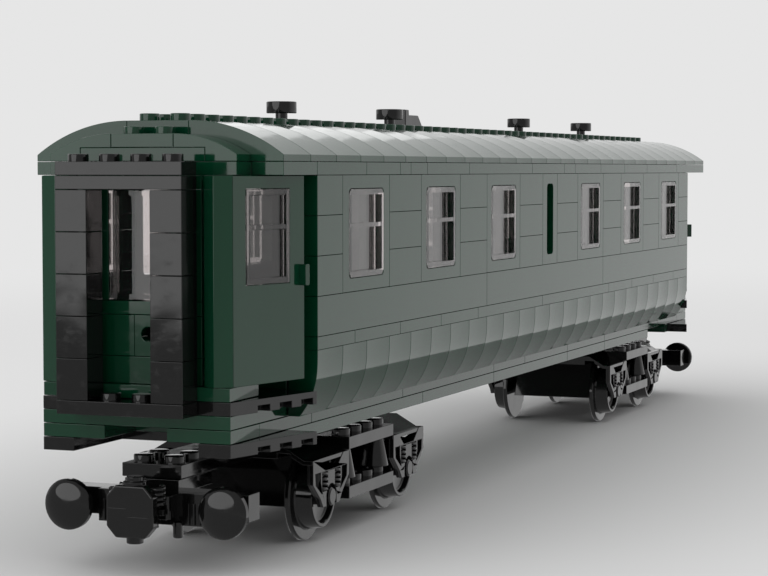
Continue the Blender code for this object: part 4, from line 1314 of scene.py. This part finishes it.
@dataclass(frozen=True)
class Coil:
    """Coil spring: its radii along and across the coach, wire radius, turns, and steps a turn."""

    along: float
    across: float
    wire: float
    turns: float
    steps: int

    def path(self, x: float, y: float, z: Span, hand: float = 1.0) -> list[Vector]:
        """Middle of the wire of an upright spring.

        Args:
            x: place of its axis along the coach.
            y: place of its axis across the coach.
            z: heights of its ends.
            hand: 1, or -1 for its mirror image.

        Returns:
            The points.
        """
        count = round(self.turns * self.steps)
        angles = [math.tau * i / self.steps for i in range(count + 1)]
        return [Vector((x + self.along * math.cos(angle), y + hand * self.across * math.sin(angle),
                        z[0] + (z[1] - z[0]) * i / count)) for i, angle in enumerate(angles)]


@dataclass
class Bogie:
    """A bogie with its side castings, coil springs, wheelsets, buffers and coupler.

    Places along a bogie count from its pivot, towards the end of the coach.
    """

    finishes: Finishes
    name: str
    pivot: float
    out: float
    base: float = 7 * STUD           # between the axles
    axle_z: float = -32.8
    plate_top: float = -6 * PLATE
    low_top: float = -10 * PLATE
    spine: float = 1.8 * STUD        # half the width of the long plate
    drawbar: Span = (30.0, 80.0)
    drawbar_half: float = STUD - 0.3
    drawbar_studs: Span = (76.0, 68.0)
    shoulder: tuple[Point, ...] = ((16.0, -19.2), (21.7, -22.5), (23.85, -22.5), (23.85, -23.6),
                                   (21.2, -23.6), (18.2, -21.9), (17.8, -21.0), (14.4, -20.9),
                                   (14.4, -22.4))
    bearing: Place = (6.5, 2.5, 2.4)     # half lengths at its foot and top, drop below the axle
    cone: tuple[Point, ...] = ((0.0, -22.3), (2.4, -22.3), (3.8, -29.9), (3.8, -30.2),
                               (0.0, -30.2))
    casting: tuple[Point, ...] = ((0.0, 7.1), (3.9, 7.1), (8.0, 10.3), (11.85, 10.3),
                                  (11.85, 4.2), (7.0, 0.0), (5.4, -2.1), (3.3, -2.1))
    fork: float = 3.3
    slot: tuple[Point, ...] = ((6.9, 6.9), (10.5, 6.9), (10.2, 4.0), (6.3, 1.4), (5.6, 1.4),
                               (6.9, 4.2))
    casting_y: Span = (22.4, 24.0)
    casting_back: float = 0.5
    spring_window: tuple[Span, Span] = ((2.3, 6.1), (1.9, 6.7))
    spring: Coil = Coil(1.5, 0.75, 0.42, 3.5, 20)
    spring_at: Place = (4.2, 2.1, 6.5)   # place from the axle, and heights of its ends above it
    spring_sunk: float = 0.55        # axis behind the casting's face
    wheel: tuple[Point, ...] = ((0.0, 24.4), (1.9, 24.4), (2.3, 24.0), (2.3, 20.3), (6.0, 20.3),
                                (6.4, 20.5), (6.8, 21.7), (7.0, 21.9), (7.7, 21.9), (7.95, 21.7),
                                (8.55, 17.8), (8.9, 17.45), (11.1, 17.4), (11.5, 17.0),
                                (11.5, 16.2), (11.1, 15.8), (1.55, 15.8))
    beam_x: Span = (72.0, 78.2)
    beam_z: Span = (-10 * PLATE, -8 * PLATE)
    plate_front: float = 80.0        # front of the plate before the beam
    carrier: tuple[float, float, Span] = (62.0, 7.0, (-25.9, -22.7))   # start, half and heights
    apron: tuple[float, Span] = (14.0, (-33.3, -8 * PLATE))            # half and heights
    nose: Place = (4.6, 5.3, 1.2)    # corner's middle from the beam's front, its Y, and radius
    nose_half: float = 6.5
    nose_z: Span = (-31.5, -26.0)
    ribs: tuple[float, ...] = (12.4, 11.0, 9.6)
    rib: tuple[float, float, Span] = (2.3, 0.3, (-33.0, -28.0))        # reach, half and heights
    peg: tuple[Point, ...] = ((0.0, -32.4), (1.2, -32.4), (1.2, -35.9), (0.9, -36.2),
                              (0.0, -36.2))
    peg_y: float = 6.8
    buffer: Place = (85.6, 20.0, -29.2)  # reach, Y and Z
    buffer_radius: float = 6.05
    buffer_dome: Point = (2.2, 75.0)     # depth, and degrees of the dome's curve
    buffer_plate: Place = (3.0, 3.4, 0.4)    # depths of its edge and back, chamfer
    buffer_stem: float = 2.6
    coupler_reach: float = 91.4
    coupler_z: float = -28.9
    coupler_corner: tuple[Point, ...] = ((3.7, 6.1), (6.0, 3.5), (6.0, -3.5), (3.7, -6.1))
    coupler_lines: tuple[tuple[Span, float], ...] = (((0.7, 5.4), 0.7), ((-4.8, 0.5), -1.2))
    coupler_deep: float = 3.0        # thickness of its face
    coupler_neck: Place = (84.3, 4.0, 4.4)   # start, half width and half height
    coupler_bar: tuple[float, float, Span] = (5.4, 7.2, (-0.9, 0.5))   # back, half and heights
    coupler_pin: tuple[Point, ...] = ((0.0, 8.0), (1.8, 8.0), (2.0, 7.8), (2.0, 6.9), (2.8, 6.8),
                                      (2.8, 0.0), (2.0, 0.0), (2.0, -7.4), (1.8, -7.6),
                                      (0.0, -7.6))
    link_spring: Coil = Coil(1.5, 1.5, 0.5, 4.0, 16)
    link_spring_at: tuple[float, float, Span] = (4.2, 5.2, (1.0, 5.6))   # place, Y and heights

    @property
    def body(self) -> str:
        """Body of the bogie."""
        return f"bogie_{self.name}"

    def x(self, a: float) -> float:
        """Place along the coach from a place along the bogie."""
        return self.pivot + self.out * a

    def xs(self, a: float, b: float) -> Span:
        """Ordered span along the coach."""
        return ordered(self.x(a), self.x(b))

    def axles(self) -> tuple[tuple[str, float], ...]:
        """Names and places of the axles."""
        return (("outer", self.base / 2), ("inner", -self.base / 2))

    def build(self) -> None:
        """Make the bogie's pieces."""
        self.build_frame()
        self.build_castings()
        for name, axle in self.axles():
            self.build_wheelset(name, axle)
        self.build_beam()
        self.build_buffers()
        self.build_coupler()

    def build_frame(self) -> None:
        """Plates, bearing blocks, posts and studs."""
        form = Form()
        top, half, wide = self.plate_top, 2 * STUD, 3 * STUD
        form.block(self.xs(-self.base / 2, self.base / 2), (-self.spine, self.spine),
                   (top - PLATE, top))
        form.block(self.xs(*self.drawbar), (-self.drawbar_half, self.drawbar_half),
                   (top - PLATE, top))
        for z in (top, self.low_top):
            form.block(self.xs(-half, half), (-wide, wide), (z - PLATE, z))
        form.block(self.xs(-half, half), (-1.5 * STUD, 1.5 * STUD),
                   (top - 2 * PLATE, top - PLATE))
        for _, axle in self.axles():
            self.add_bearing(form, axle)
        studs = [(self.x((i - 1.5) * STUD), side * 2.5 * STUD)
                 for i in range(4) for side in (-1, 1)]
        for at in studs[:2] + studs[-2:]:
            form.turned(list(self.cone), (*at, 0.0))
        drawbar = [(self.x(a), side * STUD / 2) for a in self.drawbar_studs for side in (-1, 1)]
        form.studs(studs + drawbar, top)
        form.studs(studs, self.low_top)
        form.piece(f"bogie_plates_{self.name}", self.body, self.finishes.black,
                   (f"bogie_frame_{self.name}",))

    def add_bearing(self, form: Form, axle: float) -> None:
        """Add the shoulder plate over an axle and the block that holds it.

        Args:
            form: where they go.
            axle: place of the axle.
        """
        top = self.plate_top
        outline = both_halves([(0.0, top)] + list(self.shoulder) + [(0.0, top - PLATE)])
        x0, x1 = self.xs(axle - 1.5 * STUD, axle + 1.5 * STUD)
        form.slab([outline], Facing.CROSS.frame(x0), x1 - x0)
        foot, head, drop = self.bearing
        block = [(-foot, self.axle_z - drop), (foot, self.axle_z - drop), (head, top - PLATE),
                 (-head, top - PLATE)]
        form.slab([[(self.x(axle + a), h) for a, h in block]], Facing.SIDE.frame(self.spine),
                  2 * self.spine)

    def from_axle(self, axle: float, outline: Outline, flip: float = 1.0) -> Outline:
        """Outline in the coach's X and Z from one about an axle.

        Args:
            axle: place of the axle.
            outline: places and heights from the axle.
            flip: -1 to mirror it about the axle.

        Returns:
            The outline.
        """
        return [(self.x(axle + flip * a), self.axle_z + h) for a, h in outline]

    def build_castings(self) -> None:
        """Side castings: a thin back, a front with windows, and coil springs in the windows."""
        form, springs = Form(), Form()
        y0, y1 = self.casting_y
        middle = y0 + self.casting_back
        (a0, a1), (h0, h1) = self.spring_window
        at, low, high = self.spring_at
        fork = arc((0.0, 0.0), self.fork, 0, 90, 10)
        for _, axle in self.axles():
            back = [self.from_axle(axle, both_halves(list(self.casting) + fork))]
            back += [self.from_axle(axle, list(self.slot), flip) for flip in (-1, 1)]
            front = back + [rounded(self.xs(axle + flip * a0, axle + flip * a1),
                                    (self.axle_z + h0, self.axle_z + h1), 0.4, 2)
                            for flip in (-1, 1)]
            for side in (-1, 1):
                for lines, start, end in ((back, y0, middle), (front, middle, y1)):
                    outer = max(side * start, side * end)
                    form.slab(lines, Facing.SIDE.frame(outer), end - start)
                for flip in (-1, 1):
                    path = self.spring.path(self.x(axle + flip * at),
                                            side * (y1 - self.spring_sunk),
                                            (self.axle_z + low, self.axle_z + high), side)
                    springs.tube(path, self.spring.wire)
        form.piece(f"side_castings_{self.name}", self.body, self.finishes.black, (), FINE_EDGE)
        springs.piece(f"coil_springs_{self.name}", self.body, self.finishes.black, (), 0.0)

    def build_wheelset(self, name: str, axle: float) -> None:
        """Axle and two flanged wheels, turned.

        Args:
            name: outer or inner.
            axle: its place.
        """
        form = Form()
        profile = list(self.wheel) + [(r, -h) for r, h in reversed(self.wheel)]
        form.turned(profile, (self.x(axle), 0.0, self.axle_z), Axis.Y, 64)
        node = f"wheelset_{self.name}_{name}"
        form.piece(f"wheels_{self.name}_{name}", node, self.finishes.black, (node,), 0.0)

    def build_beam(self) -> None:
        """Buffer beam with its carrier, its apron, and the coupler's housing, ribs and pegs."""
        form = Form()
        back, front = self.beam_x
        form.block(self.xs(back, front), (-3 * STUD, 3 * STUD), self.beam_z)
        start, half, z = self.carrier
        form.block(self.xs(start, self.plate_front), (-half, half), z)
        half, z = self.apron
        form.block(self.xs(front, self.plate_front), (-half, half), z)
        a, b, radius = self.nose
        nose = [(front, self.nose_half)] + arc((front + a, b), radius, 90, 0, 6)
        plan = [(self.x(a), b) for a, b in nose + [(a, -b) for a, b in reversed(nose)]]
        low, high = self.nose_z
        form.slab([plan], Facing.PLAN.frame(low), high - low)
        reach, half, z = self.rib
        for side in (-1, 1):
            for y in self.ribs:
                form.block(self.xs(front, front + reach), (side * y - half, side * y + half), z)
            form.turned(list(self.peg), (self.x(self.plate_front), side * self.peg_y, 0.0),
                        sides=24)
        form.piece(f"beam_{self.name}", self.body, self.finishes.black,
                   (f"buffer_beam_{self.name}",))

    def build_buffers(self) -> None:
        """Two buffers with domed faces."""
        form = Form()
        reach, across, z = self.buffer
        deep, curve = self.buffer_dome
        edge, back, chamfer = self.buffer_plate
        r, stem, foot = self.buffer_radius, self.buffer_stem, reach - self.beam_x[1] + 1.0
        turns = [math.radians(curve) * i / 14 for i in range(15)]
        dome = [(r * math.sin(t) / math.sin(turns[-1]), deep * (1 - math.cos(t))) for t in turns]
        rim = [(r, deep), (r, edge), (r - chamfer, back), (stem, back), (stem, foot), (0.0, foot)]
        profile = [(a, self.out * (reach - b)) for a, b in dome + rim]
        for side in (-1, 1):
            form.turned(profile, (self.pivot, side * across, z), Axis.X, 48)
        form.piece(f"buffers_{self.name}", self.body, self.finishes.black, (), 0.0)

    def build_coupler(self) -> None:
        """Eight-sided coupler face with two raised lines, its neck, bar, pin and link springs."""
        form, head = Form(), Form()
        face, z = self.coupler_reach, self.coupler_z
        back = face - self.coupler_deep
        half = [(b, z + h) for b, h in self.coupler_corner]
        x0, x1 = self.xs(back, face - 0.1)
        head.slab([half + [(-b, h) for b, h in reversed(half)]], Facing.CROSS.frame(x0), x1 - x0)
        head.piece(f"coupler_face_{self.name}", self.body, self.finishes.black, (), 0.5)
        for (b0, b1), rise in self.coupler_lines:
            form.block(self.xs(face - 0.6, face), ordered(-self.out * b0, -self.out * b1),
                       (z + rise - 0.15, z + rise + 0.15))
        start, wide, high = self.coupler_neck
        form.block(self.xs(start, back), (-wide, wide), (z - high, z + high))
        start, wide, (low, high) = self.coupler_bar
        form.block(self.xs(face - start, back), (-wide, wide), (z + low, z + high))
        form.turned(list(self.coupler_pin), (self.x(back), 0.0, z))
        start, across, (low, high) = self.link_spring_at
        for side in (-1, 1):
            path = self.link_spring.path(self.x(face - start), side * across, (z + low, z + high))
            form.tube(path, self.link_spring.wire)
        form.piece(f"coupler_head_{self.name}", self.body, self.finishes.black,
                   (f"coupler_{self.name}",), FINE_EDGE)


@dataclass(frozen=True)
class Softbox:
    """Elliptical lamp, in metres: its middle, the point it faces, its size and radiance."""

    name: str
    at: Place
    towards: Place
    size: Span
    radiance: float

    def build(self) -> None:
        """Hang the lamp, seen in the plastic and not behind the coach."""
        lamp = bpy.data.lights.new(self.name, "AREA")
        lamp.shape = "ELLIPSE"
        lamp.size, lamp.size_y = self.size
        area = math.pi * self.size[0] * self.size[1] / 4
        lamp.energy = self.radiance * math.pi * area
        ob = bpy.data.objects.new(self.name, lamp)
        ob.location = self.at
        facing = Vector(self.towards) - Vector(self.at)
        ob.rotation_euler = facing.to_track_quat("-Z", "Y").to_euler()
        ob.visible_camera = False
        ob.visible_transmission = False
        bpy.context.scene.collection.objects.link(ob)


@dataclass
class Stage:
    """Floor, world, lamps and the camera of the photograph, in metres."""

    camera_at: Place = (-0.6709, -0.2318, 0.0937)
    camera_turn: Place = (86.887, 0.0, -69.026)
    lens: float = 102.34
    sensor: float = 36.0
    lamps: tuple[Softbox, ...] = (
        Softbox("front softbox", (-1.148, 0.407, 0.374), (-0.234, 0.0, 0.042), (1.2, 0.82), 1.66),
        Softbox("back softbox", (1.41, 0.75, 0.54), (0.0, 0.0, 0.1), (0.74, 0.40), 0.55))
    floor_radius: float = 60.0
    floor_tone: Span = (0.60, 0.81)  # painted shade: floor colour near the coach and further out
    tone_at: Span = (0.02, 0.22)     # distances of the two ends of the painted shade
    tone_along: float = 0.45         # how much a distance along the coach counts in the painted shade
    fade_at: Span = (0.4, 1.2)       # where the floor turns into the backdrop
    fade_along: float = 0.8
    pale: float = 0.791              # the backdrop
    dim: float = 0.40                # what the near end mirrors
    sweep: Span = (0.40, 0.65)       # where the mirrored room turns from dim to pale
    zenith: float = 1.2              # light from straight above
    horizon: float = 0.2             # light from eye height
    glow: float = 0.8                # how much brighter the room mirrors just below eye height
    shade: float = 0.32              # brightness of the ground that the sides mirror
    tilt: Span = (0.0137, -0.20)     # slope of the mirrored ground's edge, along and across
    drop: float = 0.150              # how far below eye height the edge is

    def build(self) -> None:
        """Set the stage."""
        self.build_floor()
        self.build_world()
        for lamp in self.lamps:
            lamp.build()
        self.build_camera()
        bpy.context.scene.view_settings.view_transform = "Standard"

    def build_floor(self) -> None:
        """Pale floor that fades into the backdrop away from the coach."""
        mesh = bpy.data.meshes.new("floor")
        bm = bmesh.new()
        bmesh.ops.create_circle(bm, cap_ends=True, radius=self.floor_radius, segments=96)
        bm.to_mesh(mesh)
        bm.free()
        ob = bpy.data.objects.new("floor", mesh)
        ob.visible_glossy = False
        bpy.context.scene.collection.objects.link(ob)
        mesh.materials.append(self.floor_material())

    def floor_material(self) -> bpy.types.Material:
        """Matt floor with painted shade, its colour darker near the coach, that turns into the
        backdrop's glow.

        Returns:
            The material.
        """
        mat = bpy.data.materials.new("pale floor")
        mat.use_nodes = True
        graph = Graph(mat.node_tree)
        fade = self.ring(graph, self.fade_along, self.fade_at, (0.0, 1.0))
        # painted shade: the floor's colour darkens near the coach, where the coach's shade falls
        tone = self.ring(graph, self.tone_along, self.tone_at, self.floor_tone)
        floor = graph.node("ShaderNodeBsdfDiffuse", None, {"Color": graph.node(
            "ShaderNodeCombineColor", None, {"Red": tone, "Green": tone, "Blue": tone})})
        glow = graph.node("ShaderNodeEmission", None, {"Color": self.backdrop(), "Strength": 1.0})
        shader = graph.node("ShaderNodeMixShader", None, {0: fade, 1: floor, 2: glow})
        graph.node("ShaderNodeOutputMaterial", None, {"Surface": shader})
        return mat

    @staticmethod
    def ring(graph: Graph, along: float, reach: Span, values: Span) -> Socket:
        """Smooth change with the distance from the coach's middle.

        Args:
            graph: the floor's graph.
            along: how much a distance along the coach counts.
            reach: distances at which the change starts and ends.
            values: values at the start and the end.

        Returns:
            The value.
        """
        place = graph.named(graph.node("ShaderNodeTexCoord"), "Object") * (along, 1.0, 1.0)
        length = graph.node("ShaderNodeVectorMath", {"operation": "LENGTH"}, {0: place})
        return graph.node("ShaderNodeMapRange", {"interpolation_type": "SMOOTHSTEP"}, {
            "Value": graph.named(length, "Value"), "From Min": reach[0], "From Max": reach[1],
            "To Min": values[0], "To Max": values[1]})

    def backdrop(self) -> Color:
        """Colour of the backdrop."""
        return (self.pale, self.pale, self.pale, 1.0)

    def build_world(self) -> None:
        """Room that is brighter overhead, a mirrored room and ground, and a pale backdrop."""
        world = bpy.data.worlds.new("studio")
        bpy.context.scene.world = world
        world.use_nodes = True
        graph = Graph(world.node_tree)

        def light(color: Operand, strength: float = 1.0) -> Socket:
            """Light of a colour."""
            return graph.node("ShaderNodeBackground", None, {"Color": color, "Strength": strength})

        def either(choice: Socket, first: Socket, second: Socket) -> Socket:
            """The first shader at 0 and the second one at 1."""
            return graph.node("ShaderNodeMixShader", None, {0: choice, 1: first, 2: second})

        split = graph.node("ShaderNodeSeparateXYZ", None,
                           {"Vector": graph.named(graph.node("ShaderNodeTexCoord"), "Generated")})
        along, across, up = (graph.named(split, axis) for axis in "XYZ")
        start, end = self.sweep
        overhead = graph.ramp(((0.0, self.horizon / self.zenith), (1.0, 1.0)), up)
        room = light(overhead, self.zenith)
        ahead = along * 0.5 + 0.5
        behind = graph.ramp(((start, self.dim), (end, self.pale)), ahead)
        below_eye = graph.math("MAXIMUM", up * -1.0, 0.0) * self.glow + 1.0
        under = graph.ramp(((start, self.dim), (end, self.shade)), ahead)
        edge = up + along * self.tilt[0] + across * self.tilt[1]
        above = graph.math("GREATER_THAN", edge, -self.drop)
        mirrored = either(above, light(under), light(behind * below_eye))
        rays = graph.node("ShaderNodeLightPath")
        seen = graph.math("MAXIMUM", graph.named(rays, "Is Camera Ray"),
                          graph.named(rays, "Is Transmission Ray"))
        shader = either(graph.named(rays, "Is Glossy Ray"), room, mirrored)
        shader = either(seen, shader, light(self.backdrop()))
        graph.node("ShaderNodeOutputWorld", None, {"Surface": shader})

    def build_camera(self) -> None:
        """Camera of the photograph."""
        data = bpy.data.cameras.new("camera")
        data.sensor_width = self.sensor
        data.lens = self.lens
        ob = bpy.data.objects.new("camera", data)
        ob.location = self.camera_at
        ob.rotation_euler = [math.radians(a) for a in self.camera_turn]
        bpy.context.scene.collection.objects.link(ob)
        bpy.context.scene.camera = ob


def dress_nodes(nodes: dict[str, bpy.types.Object], finishes: Finishes) -> None:
    """Give the part's own glazing its finish and rounded edges.

    Args:
        nodes: the part's solids by name.
        finishes: the materials.
    """
    for name, ob in nodes.items():
        if ob.hide_render:
            continue
        finish = finishes.clear if name.startswith("end_window") else finishes.side_pane
        ob.data.materials.clear()
        ob.data.materials.append(finish.material)
        shade(ob, FINE_EDGE)
        LOG.info("%s keeps its solid", name)


def main() -> None:
    """Build the coach and its stage."""
    logging.basicConfig(level=logging.INFO, format="%(name)s: %(message)s")
    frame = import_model()
    finishes = Finishes()
    for side in Side:
        SideWall(finishes, side.label, side.value).build()
    Roof(finishes).build()
    ends = (EndBay(finishes, "near", 0.0, 1.0), EndBay(finishes, "far", LENGTH, -1.0))
    for end in ends:
        end.build()
    Underbody(finishes, ends).build()
    for name, pivot, out in zip(("near", "far"), PIVOTS, (-1.0, 1.0)):
        Bogie(finishes, name, pivot, out).build()
    dress_nodes(frame["nodes"], finishes)
    Stage().build()


if __name__ == "__main__":
    main()
